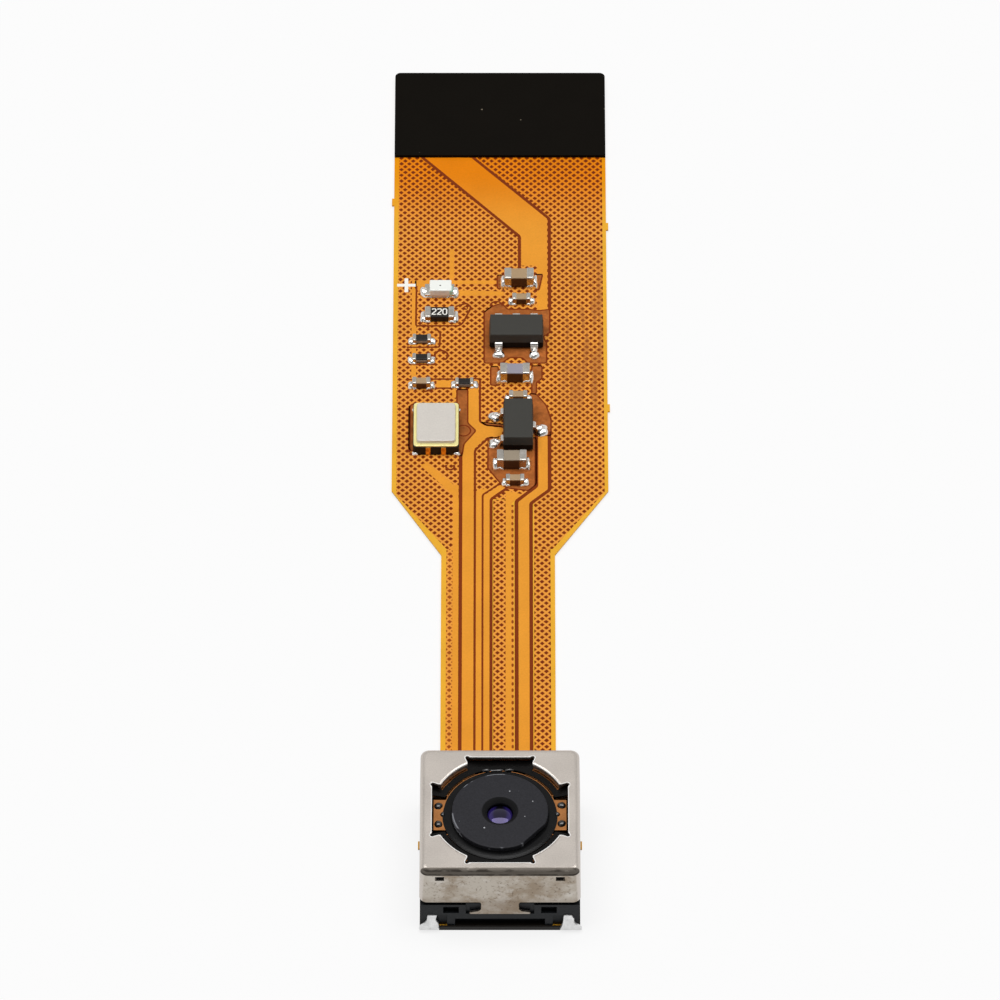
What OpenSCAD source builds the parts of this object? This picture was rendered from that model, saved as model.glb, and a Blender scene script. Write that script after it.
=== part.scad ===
// Camera module on a flexible printed circuit.
// Frame: origin on the lens axis at the back face, +X to the right, +Y along
// the flexible film towards its plug-in tail, +Z out of the lens. Millimetres.

/* [Film] */
// Width of the head and of the plug-in tail
head_w = 11.5; // [11:0.5:14]
// Length of the head, from its shoulders to the end of the tail
head_l = 30.4; // [30:0.2:36]
// Length of the taper between the neck and the head
taper_l = 4.5; // [3:0.5:8]
// Distance from the lens axis to the start of the taper
neck_l = 21.1; // [12:0.1:60]
// Width of the neck
neck_w = 6; // [6:0.25:7]
// Sideways shift of the neck from the lens axis
neck_shift = -0.1; // [-0.2:0.05:0.2]
// How far the pad under the camera stands out at the camera's sides
pad_side = 0.05; // [0.05:0.05:0.6]
// How far the pad stands out before and behind the camera's base
pad_end = 0.1; // [0.08:0.02:0.5]
// Thickness of the film
film_t = 0.1; // [0.08:0.02:0.2]
// Radius of the corners at the end of the tail
tail_corner_r = 0.3; // [0.1:0.1:0.8]
// How far the breakaway stubs stand out of the film's edges
stub_out = 0.12; // [0.05:0.01:0.3]
// Length of a breakaway stub along the edge
stub_l = 0.5; // [0.3:0.1:1]

/* [Stiffeners and contacts] */
// Length of the black stiffener on the tail
stiffener_l = 6.2; // [5:0.05:7]
// Thickness of the tail stiffener
stiffener_t = 0.2; // [0.1:0.05:0.3]
// Thickness of the stiffener plate behind the camera
back_plate_t = 0.1; // [0.1:0.05:0.3]
// Number of contacts on the underside of the tail
contact_n = 22; // [10:1:22]
// Distance between two contacts
contact_pitch = 0.5; // [0.4:0.05:0.5]
// Width of a contact
contact_w = 0.3; // [0.2:0.05:0.35]
// Length of a contact
contact_l = 4.4; // [2:0.2:5]
// Distance from the end of the tail to the contacts
contact_inset = 0.3; // [0.1:0.1:0.5]

/* [Copper] */
// Thickness of the copper on either face of the film
copper_t = 0.02; // [0.01:0.005:0.035]
// Bare margin between the copper and the edges of the film
copper_margin = 0.3; // [0.15:0.05:0.4]
// Width of the bare trench beside a track
trench_w = 0.18; // [0.1:0.02:0.25]
// Width of the broad supply track where it leaves the tail
supply_tail_w = 2.8; // [2:0.2:3.4]
// Width of the broad supply track at its narrow end
supply_end_w = 1.45; // [1:0.05:1.8]
// How far a solder pad stands out beyond each end of its part
pad_out = 0.35; // [0.2:0.05:0.5]
// How far a solder fillet reaches beyond each end of its part
fillet_l = 0.28; // [0.1:0.02:0.35]
// Width across the printed cross mark
mark_w = 1; // [0.6:0.1:1.4]
// Width of the lines of the cross mark
mark_line = 0.2; // [0.1:0.05:0.3]

/* [Chip parts] */
// Length of a large chip part
chip_l = 1.6; // [1.4:0.1:1.8]
// Width of a large chip part
chip_w = 0.8; // [0.6:0.05:0.9]
// Length of the metal ends of a large chip part
chip_end_l = 0.32; // [0.2:0.02:0.4]
// Length of a small chip part
small_l = 1; // [0.8:0.1:1.1]
// Width of a small chip part
small_w = 0.5; // [0.4:0.05:0.6]
// Length of the metal ends of a small chip part
small_end_l = 0.22; // [0.15:0.01:0.3]
// Height of a large capacitor
chip_cap_h = 0.8; // [0.5:0.05:1]
// Height of a small capacitor
small_cap_h = 0.5; // [0.3:0.05:0.6]
// Height of a large resistor
chip_res_h = 0.45; // [0.3:0.05:0.6]
// Height of a small resistor
small_res_h = 0.35; // [0.25:0.05:0.5]
// How far the metal ends wrap proud of the ceramic body
end_wrap = 0.02; // [0.01:0.01:0.04]
// Height of the base board of the light
led_base_h = 0.25; // [0.15:0.05:0.4]
// Height of the lens block of the light
led_lens_h = 0.35; // [0.2:0.05:0.6]
// Length of the lens block of the light
led_lens_l = 1.05; // [0.8:0.05:1.2]

/* [Regulators and oscillator] */
// Length of a regulator's body
reg_l = 2.9; // [2.7:0.1:3.1]
// Width of a regulator's body
reg_w = 1.6; // [1.4:0.1:1.8]
// Height of a regulator's body
reg_h = 1.05; // [0.8:0.05:1.2]
// How much each side of a regulator leans in from its middle line
reg_draft = 0.08; // [0.02:0.02:0.14]
// Gap between a regulator's body and the copper
reg_standoff = 0.05; // [0.02:0.01:0.15]
// Distance over the tips of a regulator's leads
reg_span = 2.8; // [2.6:0.1:3]
// Width of a lead
lead_w = 0.4; // [0.3:0.05:0.5]
// Thickness of a lead
lead_t = 0.13; // [0.1:0.01:0.18]
// Distance between the outer leads of a regulator
lead_pitch = 1.9; // [1.7:0.1:2]
// Length of the oscillator
osc_l = 3.15; // [2.9:0.05:3.2]
// Width of the oscillator
osc_w = 2.45; // [2.2:0.05:2.6]
// Height of the oscillator's ceramic base
osc_base_h = 0.6; // [0.4:0.05:0.8]
// Height of the oscillator's seal ring
osc_ring_h = 0.08; // [0.05:0.01:0.15]
// Height of the oscillator's lid
osc_lid_h = 0.2; // [0.1:0.05:0.3]
// Distance from the oscillator's edge to its seal ring
osc_ring_inset = 0.12; // [0.08:0.02:0.2]

/* [Shield can] */
// Outer width of the shield can
can_w = 8.2; // [8.2:0.1:8.6]
// Height of the whole camera above its back face
camera_h = 4.65; // [4.65:0.05:5.4]
// Thickness of the can's sheet metal
can_t = 0.15; // [0.1:0.01:0.18]
// Outer radius of the can's upright corners
can_corner_r = 0.4; // [0.3:0.05:0.6]
// Outer radius of the can's top edge
can_edge_r = 0.27; // [0.2:0.01:0.29]
// Height of the lower edge of the can above the back face
can_skirt_z = 2.2; // [2.1:0.05:2.35]
// Width of the can's top between its side and the round opening
rim_w = 0.65; // [0.63:0.01:0.73]
// Half width of the notches in the opening
notch_half_w = 1.66; // [1.5:0.02:1.8]
// Width of the can's top between its side and a notch
notch_rim_w = 0.63; // [0.55:0.01:0.65]
// Radius of the relief in each corner of a notch
relief_r = 0.1; // [0.05:0.01:0.15]
// Depth of the can's inner flange below its top
flange_depth = 0.35; // [0.25:0.05:0.4]
// Width of the can's front and rear latching tabs
tab_w = 1.94; // [1.6:0.02:2.4]
// Width over the hooks at the foot of a tab
hook_w = 3.1; // [2.6:0.1:3.3]
// Height of the hooks on a tab
hook_h = 0.13; // [0.1:0.01:0.2]
// Height of the lower edge of a tab above the back face
tab_z = 1.25; // [1.22:0.01:1.4]
// Width of the small slots in the can's front and rear walls
slot_w = 0.45; // [0.3:0.05:0.6]
// Height of the small slots
slot_h = 0.25; // [0.15:0.05:0.35]
// Distance from the can's side to the middle of each small slot
slot_inset = 1.07; // [0.8:0.01:1.3]
// Distance from the can's top down to the middle of a small slot
slot_drop = 0.6; // [0.55:0.05:1]

/* [Camera base] */
// How far the base's walls stand back from the can's outer faces
base_set = 0.05; // [0:0.01:0.08]
// Height of the top of the base above the back face
base_top_z = 2.2; // [2.15:0.05:2.3]
// Height of the shoulder around the base
base_shoulder_z = 1.9; // [1.75:0.05:2]
// Gap between the can's inner walls and the base's upper edge
base_clear = 0.05; // [0.02:0.01:0.15]
// Depth of the recess behind the latching tabs
base_recess_d = 0.12; // [0.11:0.01:0.25]
// Half width of the recess behind the latching tabs
base_recess_half_w = 1.75; // [1.7:0.05:2]
// Thickness of the base's walls around the image sensor
base_wall = 0.55; // [0.45:0.05:0.8]
// Height of the cavity's roof above the back face
cavity_z = 1.1; // [1:0.05:1.2]
// Width of the infrared filter
filter_w = 5.4; // [5:0.1:5.8]
// Thickness of the infrared filter
filter_t = 0.21; // [0.1:0.01:0.3]
// Width of the light opening above the filter
window_w = 4.4; // [4:0.1:4.8]
// Thickness of the sensor's own board
board_t = 0.3; // [0.2:0.05:0.4]
// Gap between the sensor's board and the base's walls
board_clear = 0.05; // [0.02:0.01:0.2]
// Width of the image sensor
sensor_w = 4.6; // [4:0.1:5]
// Depth of the image sensor
sensor_d = 3.9; // [3.4:0.1:4.4]
// Thickness of the image sensor
sensor_t = 0.2; // [0.1:0.05:0.25]
// Width of an actuator terminal
terminal_w = 0.42; // [0.3:0.02:0.5]
// Height of an actuator terminal above the back face
terminal_z = 1.1; // [0.9:0.05:1.1]
// Distance from the base's side to the middle of an actuator terminal
terminal_inset = 0.57; // [0.4:0.01:0.7]
// Thickness of an actuator terminal
terminal_t = 0.05; // [0.03:0.01:0.07]

/* [Focus actuator] */
// Travel of the lens carrier
focus_travel = 0.25; // [0.1:0.05:0.3]
// Thickness of both leaf springs
spring_t = 0.05; // [0.03:0.01:0.06]
// Height of the top of the lens carrier above the back face
carrier_top_z = 4.15; // [4.1:0.05:4.2]
// Gap between the lens carrier and the edge of the can's opening
carrier_gap = 0.5; // [0.48:0.01:0.55]
// Thickness of the lens carrier's wall at its flanges
carrier_wall = 0.65; // [0.6:0.01:0.7]
// Distance from the coil's top to the magnets' top when the lens is fully forward
coil_end_clear = 0.1; // [0.05:0.05:0.15]
// Height of the lens carrier's lower flange
carrier_foot_h = 0.4; // [0.3:0.05:0.5]
// Gap between a carrier wing and the edge of the notch above it
wing_clear = 0.07; // [0.05:0.01:0.15]
// Half width of a carrier wing
wing_half_w = 1; // [0.8:0.05:1.05]
// Thickness of the coil winding
coil_t = 0.28; // [0.15:0.01:0.3]
// How far the coil stands out of the carrier's upper flange
coil_out = 0.12; // [0.05:0.01:0.15]
// Running gap between the coil and the magnets
coil_gap = 0.28; // [0.2:0.01:0.3]
// Half width of the free space between two magnets
magnet_free = 1.9; // [1.8:0.05:2.2]
// Height of the gap between the base and the magnets
magnet_lift = 0.4; // [0.3:0.05:0.6]
// Width of the inner ring of a leaf spring
spring_ring_w = 0.15; // [0.1:0.01:0.2]
// Width of the thin arms of a leaf spring
spring_arm_w = 0.06; // [0.04:0.01:0.07]
// Gap on either side of a spring arm
spring_slot = 0.055; // [0.04:0.005:0.07]
// Half width of the gaps in the springs' outer frames
spring_gap_half_w = 1.25; // [1.15:0.05:1.4]
// Radius of a glue dot on the upper spring
glue_r = 0.2; // [0.1:0.02:0.22]
// Distance from the wing's middle to each glue dot
glue_y = 0.6; // [0.4:0.05:0.7]
// Height of a glue dot
glue_h = 0.12; // [0.05:0.01:0.15]

/* [Lens] */
// Width of the lens carrier's rim around the barrel's front
carrier_rim_w = 0.5; // [0.45:0.01:0.55]
// How far the barrel's front stands above the carrier
barrel_out = 0.4; // [0.3:0.05:0.45]
// Thickness of the barrel's front rim
barrel_rim_h = 0.3; // [0.2:0.05:0.4]
// Height of the barrel's foot above the carrier's foot
barrel_foot = 0.35; // [0.2:0.05:0.6]
// Radial clearance between the barrel and the carrier's bore
barrel_clear = 0.02; // [0.01:0.01:0.05]
// Radius of the cone around the front aperture
cone_r = 0.95; // [0.8:0.05:1.2]
// Depth of the cone around the front aperture
cone_h = 0.2; // [0.1:0.05:0.3]
// Radius of the front aperture
aperture_r = 0.67; // [0.5:0.01:0.75]
// Length of the front aperture
aperture_l = 0.12; // [0.08:0.02:0.2]
// Thickness of the barrel's wall around the rear lens
barrel_wall = 0.43; // [0.38:0.01:0.5]
// Step between the radii of the rear and the middle lens
lens_2_step = 0.35; // [0.25:0.05:0.4]
// Step between the radii of the middle and the front lens
lens_1_step = 0.4; // [0.3:0.05:0.5]
// Thickness of the front lens at its edge
lens_1_t = 0.35; // [0.3:0.05:0.4]
// Thickness of the middle lens at its edge
lens_2_t = 0.3; // [0.25:0.05:0.35]
// Thickness of the rear lens at its edge
lens_3_t = 0.35; // [0.3:0.05:0.4]
// How far the middle of each lens surface bulges
lens_bulge = 0.12; // [0.05:0.01:0.15]
// Thickness of the light stops between the lenses
stop_t = 0.06; // [0.04:0.01:0.08]
// Thickness of the retaining ring below the lenses
retainer_t = 0.15; // [0.1:0.05:0.2]

/* [Hidden] */
$fn = 64;
cut = 0.5;                              // overlap of a cutting shape
filter_glue_t = 0.05;                   // glue under the infrared filter
terminal_seat = 0.05;                   // base wall left beside a terminal
fillet_tip_h = 0.03;                    // height of a solder fillet's thin edge
hook_lift = 0.03;                       // how far the hooks stand above the foot of a tab
copper_lap = 0.3;                       // how far the head's copper reaches down the neck

film_z = back_plate_t;                  // underside of the film
film_top = film_z + film_t;             // upper face of the film
copper_top = film_top + copper_t;       // upper face of the copper
head_y = neck_l + taper_l;              // shoulders of the head
tail_y = head_y + head_l;               // end of the tail
stiffener_y = tail_y - stiffener_l;     // edge of the tail stiffener
head_x = head_w / 2;
neck_x = neck_w / 2;
copper_x = head_x - copper_margin;      // edge of the copper on the head

can_x = can_w / 2;
can_in = can_x - can_t;                 // inner face of the can's walls
can_under = camera_h - can_t;           // underside of the can's top
base_x = can_x - base_set;
base_w = 2 * base_x;
base_top_w = 2 * (can_in - base_clear); // width of the base inside the can
pad_w = base_w + 2 * pad_side;
pad_half_l = base_x + pad_end;
opening_r = can_x - rim_w;
notch_out = can_x - notch_rim_w;        // outer edge of a notch
slot_x = can_x - slot_inset;
cavity_w = base_w - 2 * base_wall;
board_w = cavity_w - 2 * board_clear;
terminal_x = base_x - terminal_inset;
carrier_r = opening_r - carrier_gap;
carrier_bore_r = carrier_r - carrier_wall;
wing_out = notch_out - wing_clear;      // end of a carrier wing
carrier_flange_h = focus_travel + coil_end_clear; // the upper flange, above the coil
barrel_r = carrier_r - carrier_rim_w;   // radius of the barrel's front
barrel_skirt_r = carrier_bore_r - barrel_clear;
lens_3_r = barrel_skirt_r - barrel_wall;
lens_2_r = lens_3_r - lens_2_step;
lens_1_r = lens_2_r - lens_1_step;
spring_z = carrier_top_z;               // underside of the upper spring
coil_r = carrier_r + coil_out;          // outer radius of the coil
magnet_r = coil_r + coil_gap;           // radius of the magnets' inner faces
carrier_z = base_top_z + spring_t;      // underside of the lens carrier
barrel_top = carrier_top_z + barrel_out;
barrel_z = carrier_z + barrel_foot;
filter_z = cavity_z + filter_glue_t;    // filter, glued in its pocket
lens_1_z = barrel_top - cone_h - aperture_l - lens_1_t;
lens_2_z = lens_1_z - stop_t - lens_2_t;
lens_3_z = lens_2_z - stop_t - lens_3_t;

// Places of the parts on the head: x, and distance above the shoulders
led_at = [-3.25, 14.2];
osc_at = [-3.4, 4.1];
reg_1_at = [0.88, 10.9];
reg_2_at = [0.97, 4.2];
// Chip parts: x, distance above the shoulders, and whether the chip is large
resistors = [[-3.25, 12.45, true], [-4.2, 10.7, false], [-4.2, 9.3, false],
             [-1.9, 7.55, false]];
capacitors = [[1.03, 14.95, true], [1.15, 13.55, false], [0.8, 8.05, true],
              [0.97, 6.5, false], [0.62, 1.85, true], [0.8, 0.55, false],
              [-4.2, 7.45, false]];
// Breakaway stubs: side, and distance above the shoulders
head_stubs = [[-1, 20.9], [1, 19.1], [1, 5.9]];
pad_stub_y = 1.3;                       // stubs beside the camera

// Tracks along the neck: left and right edge from the neck's middle, as shares of its width
function neck_at(share) = neck_shift + share * neck_w;
ground_lines = [[-0.453, -0.348], [-0.043, 0.142], [0.312, 0.457]];
track_a = [-0.321, -0.216];
track_b = [-0.196, -0.146];
track_c = [-0.131, -0.07];
track_d = [0.175, 0.275];
track_end_y = pad_half_l;               // the tracks end at the rear of the camera's base
// The supply track: x of its left edge at the tail and at its straight end, and
// how far above the shoulders each edge turns and ends
supply_tail_x = -4.5;
supply_x = 1.1;
supply_left_turn = 18.2;
supply_left_end = 16.2;
supply_right_turn = 19.7;
supply_right_end = 13.2;
// The signal tracks on the head: x of the left edge, distance above the shoulders
track_a_start = [[-1.72, 7.2], [-1.72, 4.4]];
track_b_start = [[-0.55, 0.4]];
track_c_start = [[-0.2, 0.4]];
track_d_start = [[1.9, 3.4], [1.9, 0.3]];
track_bend = -0.8;                      // where the tracks turn into the neck, from the shoulders

// ---------- Shared shapes ----------

// A flat shape raised from height z by t
module raise(z, t) {
    translate([0, 0, z]) linear_extrude(t) children();
}

// A box centred on the lens axis in x and y, from z up by h
module centred_box(w, d, z, h) {
    translate([-w / 2, -d / 2, z]) cube([w, d, h]);
}

// A flat ring
module ring(outer, inner) {
    difference() {
        circle(outer);
        circle(inner);
    }
}

// The same shape at the four corners, mirrored in x and y
module four_corners() {
    for (x = [0, 1], y = [0, 1]) mirror([x, 0, 0]) mirror([0, y, 0]) children();
}

// The same shape at the left and the right
module left_and_right() {
    for (x = [0, 1]) mirror([x, 0, 0]) children();
}

// ---------- Film ----------

module head_outline() {
    translate([-head_x, head_y]) square([head_w, head_l - tail_corner_r]);
    translate([-head_x + tail_corner_r, head_y])
        square([head_w - 2 * tail_corner_r, head_l]);
    left_and_right()
        translate([head_x - tail_corner_r, tail_y - tail_corner_r]) circle(tail_corner_r);
}

module flex_film() {
    color("#e8a33c") raise(film_z, film_t) {
        head_outline();
        polygon([[-head_x, head_y], [neck_shift - neck_x, neck_l], [neck_shift + neck_x, neck_l],
                 [head_x, head_y]]);
        translate([neck_shift - neck_x, 0]) square([neck_w, neck_l]);
        translate([-pad_w / 2, -pad_half_l]) square([pad_w, 2 * pad_half_l]);
        for (stub = head_stubs)
            translate([stub[0] * head_x - stub_out, head_y + stub[1] - stub_l / 2])
                square([2 * stub_out, stub_l]);
        translate([-pad_w / 2 - stub_out, pad_stub_y - stub_l / 2])
            square([pad_w + 2 * stub_out, stub_l]);
    }
}

module tail_stiffener() {
    color("#161514") raise(film_top, stiffener_t) intersection() {
        head_outline();
        translate([-head_x, stiffener_y]) square([head_w, stiffener_l]);
    }
}

module back_plate() {
    color("#9a9a98") centred_box(pad_w, 2 * pad_half_l, 0, back_plate_t);
}

module tail_contacts() {
    color("#d9a93a") for (i = [0 : contact_n - 1])
        translate([(i - (contact_n - 1) / 2) * contact_pitch - contact_w / 2,
                   tail_y - contact_inset - contact_l, film_z - copper_t])
            cube([contact_w, contact_l, copper_t]);
}

// ---------- Copper ----------

// The supply track slants from the tail to the right, then runs straight to the first capacitor
module supply_outline() {
    right_x = supply_x + supply_end_w;
    polygon([[supply_tail_x, stiffener_y], [supply_x, head_y + supply_left_turn],
             [supply_x, head_y + supply_left_end], [right_x, head_y + supply_right_end],
             [right_x, head_y + supply_right_turn], [supply_tail_x + supply_tail_w, stiffener_y]]);
}

module supply_track() {
    color("#eb9b32") raise(film_top, copper_t) supply_outline();
}

// A signal track from its start on the head, by steps, down the neck
module signal_outline(line, start) {
    w = (line[1] - line[0]) * neck_w;
    left = neck_at(line[0]);
    points = concat([for (p = start) [p[0], head_y + p[1]]],
                    [[left, head_y + track_bend], [left, track_end_y]]);
    polygon(concat(points, [for (i = [len(points) - 1 : -1 : 0]) points[i] + [w, 0]]));
}

module signal_outlines() {
    signal_outline(track_a, track_a_start);
    signal_outline(track_b, track_b_start);
    signal_outline(track_c, track_c_start);
    signal_outline(track_d, track_d_start);
}

module signal_tracks() {
    color("#eb9b32") raise(film_top, copper_t) signal_outlines();
}

// A track's outline and the trenches at its sides, to cut out of the ground copper
module widened(by) {
    for (x = [-by, 0, by]) translate([x, 0]) children();
}

// A chip part's footprint with its pads and a bare border
module chip_window(at, l, w) {
    translate([at[0] - l / 2 - pad_out - trench_w, head_y + at[1] - w / 2 - trench_w])
        square([l + 2 * (pad_out + trench_w), w + 2 * trench_w]);
}

module part_windows() {
    for (p = concat(resistors, capacitors))
        chip_window(p, p[2] ? chip_l : small_l, p[2] ? chip_w : small_w);
    chip_window(led_at, chip_l, chip_w);
    chip_window(osc_at, osc_w - 2 * pad_out, osc_l + 2 * pad_out);
    chip_window(reg_1_at, reg_l - 2 * pad_out, reg_span + 2 * pad_out);
    chip_window(reg_2_at, reg_span, reg_l);
}

module ground_mesh() {
    color("#d98f3a") raise(film_top, copper_t) difference() {
        union() {
            translate([-copper_x, head_y]) square([2 * copper_x, stiffener_y - head_y]);
            polygon([[-copper_x, head_y], [neck_at(ground_lines[0][0]), neck_l - copper_lap],
                     [neck_at(ground_lines[2][1]), neck_l - copper_lap], [copper_x, head_y]]);
            for (line = ground_lines)
                translate([neck_at(line[0]), track_end_y])
                    square([(line[1] - line[0]) * neck_w, neck_l - track_end_y]);
        }
        widened(trench_w) supply_outline();
        widened(trench_w / 2) signal_outlines();
        part_windows();
        cross_outline(trench_w / 2);
    }
}

// Two pads for a chip part that lies along x
module chip_pads(at, l, w, end_l) {
    for (side = [-1, 1])
        translate([at[0] + side * (l / 2 + pad_out / 2 - end_l / 2) - (end_l + pad_out) / 2,
                   head_y + at[1] - w / 2])
            square([end_l + pad_out, w]);
}

module solder_pads() {
    color("#c9ccd0") raise(film_top, copper_t) {
        for (p = concat(resistors, capacitors))
            chip_pads(p, p[2] ? chip_l : small_l, p[2] ? chip_w : small_w,
                      p[2] ? chip_end_l : small_end_l);
        chip_pads(led_at, chip_l, chip_w, chip_end_l);
        translate([reg_1_at[0], head_y + reg_1_at[1]]) reg_pads([-1, 0, 1], [-1, 1]);
        translate([reg_2_at[0], head_y + reg_2_at[1]]) rotate(90) reg_pads([-1, 1], [0]);
        translate([osc_at[0], head_y + osc_at[1]]) four_corners()
            translate([osc_w / 2 - osc_pad_w, osc_l / 2 - osc_pad_l])
                square([osc_pad_w, osc_pad_l + fillet_l]);
        for (side = [-1, 1])
            translate([side * terminal_x - terminal_w, -pad_half_l])
                square([2 * terminal_w, pad_end]);
    }
}

osc_pad_w = 0.8;                        // pads at the oscillator's corners
osc_pad_l = 0.7;

// Pads of a regulator: steps of the lead pitch at its rear and at its front
module reg_pads(rear, front) {
    foot = lead_foot_l + pad_out / 2;
    for (step = rear)
        translate([step * lead_pitch / 2 - lead_w / 2, reg_span / 2 - lead_foot_l])
            square([lead_w, foot]);
    for (step = front)
        translate([step * lead_pitch / 2 - lead_w / 2, -reg_span / 2 + lead_foot_l - foot])
            square([lead_w, foot]);
}

// A solder fillet that leans against an upright face at x = 0, towards +x
module fillet(w, h, l) {
    translate([0, w / 2, copper_top]) rotate([90, 0, 0]) linear_extrude(w)
        polygon([[0, 0], [l, 0], [l, fillet_tip_h], [l * 0.45, h * 0.35], [0, h]]);
}

module chip_fillets(at, l, w, h) {
    translate([at[0], head_y + at[1], 0]) left_and_right()
        translate([l / 2, 0, 0]) fillet(w * 0.96, h * 0.75, fillet_l);
}

module solder_joints() {
    color("#d5d8dc") {
        for (p = resistors)
            chip_fillets(p, p[2] ? chip_l : small_l, p[2] ? chip_w : small_w,
                         p[2] ? chip_res_h : small_res_h);
        for (p = capacitors)
            chip_fillets(p, p[2] ? chip_l : small_l, p[2] ? chip_w : small_w,
                         p[2] ? chip_cap_h : small_cap_h);
        chip_fillets(led_at, chip_l, chip_w, led_base_h + led_lens_h / 2);
        translate([reg_1_at[0], head_y + reg_1_at[1], 0]) reg_fillets([-1, 0, 1], [-1, 1]);
        translate([reg_2_at[0], head_y + reg_2_at[1], 0]) rotate(90) reg_fillets([-1, 1], [0]);
        translate([osc_at[0], head_y + osc_at[1], 0]) four_corners()
            translate([osc_w / 2 - osc_pad_w / 2, osc_l / 2, 0])
                rotate(90) fillet(osc_pad_w, osc_base_h / 2, fillet_l);
        left_and_right() terminal_fillet();
    }
}

module reg_fillets(rear, front) {
    for (step = rear)
        translate([step * lead_pitch / 2, reg_span / 2, 0])
            rotate(90) fillet(lead_w, lead_t, pad_out / 2);
    for (step = front)
        translate([step * lead_pitch / 2, -reg_span / 2, 0])
            rotate(-90) fillet(lead_w, lead_t, pad_out / 2);
}

// The solder that climbs an actuator terminal, wide at its foot
module terminal_fillet() {
    h = terminal_z - copper_top;
    translate([terminal_x, -base_x - terminal_t, copper_top]) rotate([90, 0, 0])
        linear_extrude(pad_end - terminal_t)
            polygon([[-terminal_w, 0], [terminal_w * 1.3, 0], [terminal_w * 0.7, h * 0.55],
                     [terminal_w / 2, h], [-terminal_w / 2, h], [-terminal_w / 2, h * 0.4]]);
}

// ---------- Printed mark ----------

cross_at = [-5.05, 14.75];              // x, and distance above the shoulders

module cross_outline(border) {
    translate([cross_at[0], head_y + cross_at[1]]) {
        square([mark_w + 2 * border, mark_line + 2 * border], center = true);
        square([mark_line + 2 * border, mark_w + 2 * border], center = true);
    }
}

module cross_mark() {
    color("#f4f2ea") raise(film_top, copper_t) cross_outline(0);
}

// ---------- Chip parts ----------

// The ceramic body of a chip part between and inside its metal ends
module chip_body(at, l, w, h) {
    translate([at[0] - l / 2 + end_wrap, head_y + at[1] - w / 2 + end_wrap, copper_top + end_wrap])
        cube([l - 2 * end_wrap, w - 2 * end_wrap, h - 2 * end_wrap]);
}

// The two metal ends of a chip part, wrapped around its body
module chip_ends(at, l, w, h, end_l) {
    difference() {
        translate([at[0], head_y + at[1], 0]) left_and_right()
            translate([l / 2 - end_l, -w / 2, copper_top]) cube([end_l, w, h]);
        chip_body(at, l, w, h);
    }
}

module resistor(i, ends) {
    p = resistors[i];
    l = p[2] ? chip_l : small_l;
    w = p[2] ? chip_w : small_w;
    h = p[2] ? chip_res_h : small_res_h;
    end_l = p[2] ? chip_end_l : small_end_l;
    if (ends) color("#d8dadd") chip_ends(p, l, w, h, end_l);
    else color("#1d1c1e") chip_body(p, l, w, h);
}

module capacitor(i, ends) {
    p = capacitors[i];
    l = p[2] ? chip_l : small_l;
    w = p[2] ? chip_w : small_w;
    h = p[2] ? chip_cap_h : small_cap_h;
    end_l = p[2] ? chip_end_l : small_end_l;
    if (ends) color("#d8dadd") chip_ends(p, l, w, h, end_l);
    else color("#a8845c") chip_body(p, l, w, h);
}

module led_base() {
    color("#e9e4d0") chip_body(led_at, chip_l, chip_w, led_base_h + 2 * end_wrap);
}

module led_ends() {
    color("#d8dadd") chip_ends(led_at, chip_l, chip_w, led_base_h + 2 * end_wrap, chip_end_l);
}

module led_lens() {
    lens_z = copper_top + led_base_h + end_wrap;
    margin = (chip_w - 2 * end_wrap) / 2;
    color("#f2f4f0") difference() {
        translate([led_at[0] - led_lens_l / 2, head_y + led_at[1] - margin, lens_z])
            cube([led_lens_l, 2 * margin, led_lens_h]);
        chip_ends(led_at, chip_l, chip_w, led_base_h + 2 * end_wrap, chip_end_l);
    }
}

// ---------- Regulators ----------

reg_z = copper_top + reg_standoff;      // underside of a regulator's body
lead_mid_z = reg_h * 0.45;              // height of the lead's shoulder in the body
lead_foot_l = 0.4;                      // length of a lead's foot on its pad

// A regulator's outline seen from one side, widest at its middle line
module drafted(w, h) {
    polygon([[-w / 2 + reg_draft, 0], [-w / 2, h * 0.45], [-w / 2, h * 0.55],
             [-w / 2 + reg_draft, h], [w / 2 - reg_draft, h], [w / 2, h * 0.55],
             [w / 2, h * 0.45], [w / 2 - reg_draft, 0]]);
}

module reg_body() {
    translate([0, 0, reg_z]) intersection() {
        translate([0, cut + reg_w / 2, 0]) rotate([90, 0, 0])
            linear_extrude(reg_w + 2 * cut) drafted(reg_l, reg_h);
        rotate([90, 0, 90]) translate([0, 0, -reg_l / 2 - cut])
            linear_extrude(reg_l + 2 * cut) drafted(reg_w, reg_h);
    }
}

// One lead that leaves the body at its middle line and stands on its foot
module lead() {
    tip = reg_span / 2;
    top = reg_standoff + lead_mid_z + lead_t / 2;
    knee = reg_w / 2 + 0.18;
    translate([lead_w / 2, 0, copper_top]) rotate([90, 0, -90]) linear_extrude(lead_w)
        polygon([[-reg_w / 2, top], [-knee - lead_t / 2, top], [-knee - lead_t - 0.05, lead_t],
                 [-tip, lead_t], [-tip, 0], [-knee - 0.05, 0], [-knee + lead_t / 2, top - lead_t],
                 [-reg_w / 2, top - lead_t]]);
}

module reg_leads(rear, front) {
    for (step = rear) translate([step * lead_pitch / 2, 0, 0]) lead();
    for (step = front) translate([step * lead_pitch / 2, 0, 0]) rotate(180) lead();
}

module regulator_1() {
    color("#2a2b2e") translate([reg_1_at[0], head_y + reg_1_at[1], 0]) reg_body();
}

module regulator_1_leads() {
    color("#cfd2d6") translate([reg_1_at[0], head_y + reg_1_at[1], 0])
        reg_leads([-1, 0, 1], [-1, 1]);
}

module regulator_2() {
    color("#2a2b2e") translate([reg_2_at[0], head_y + reg_2_at[1], 0]) rotate(90) reg_body();
}

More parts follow.
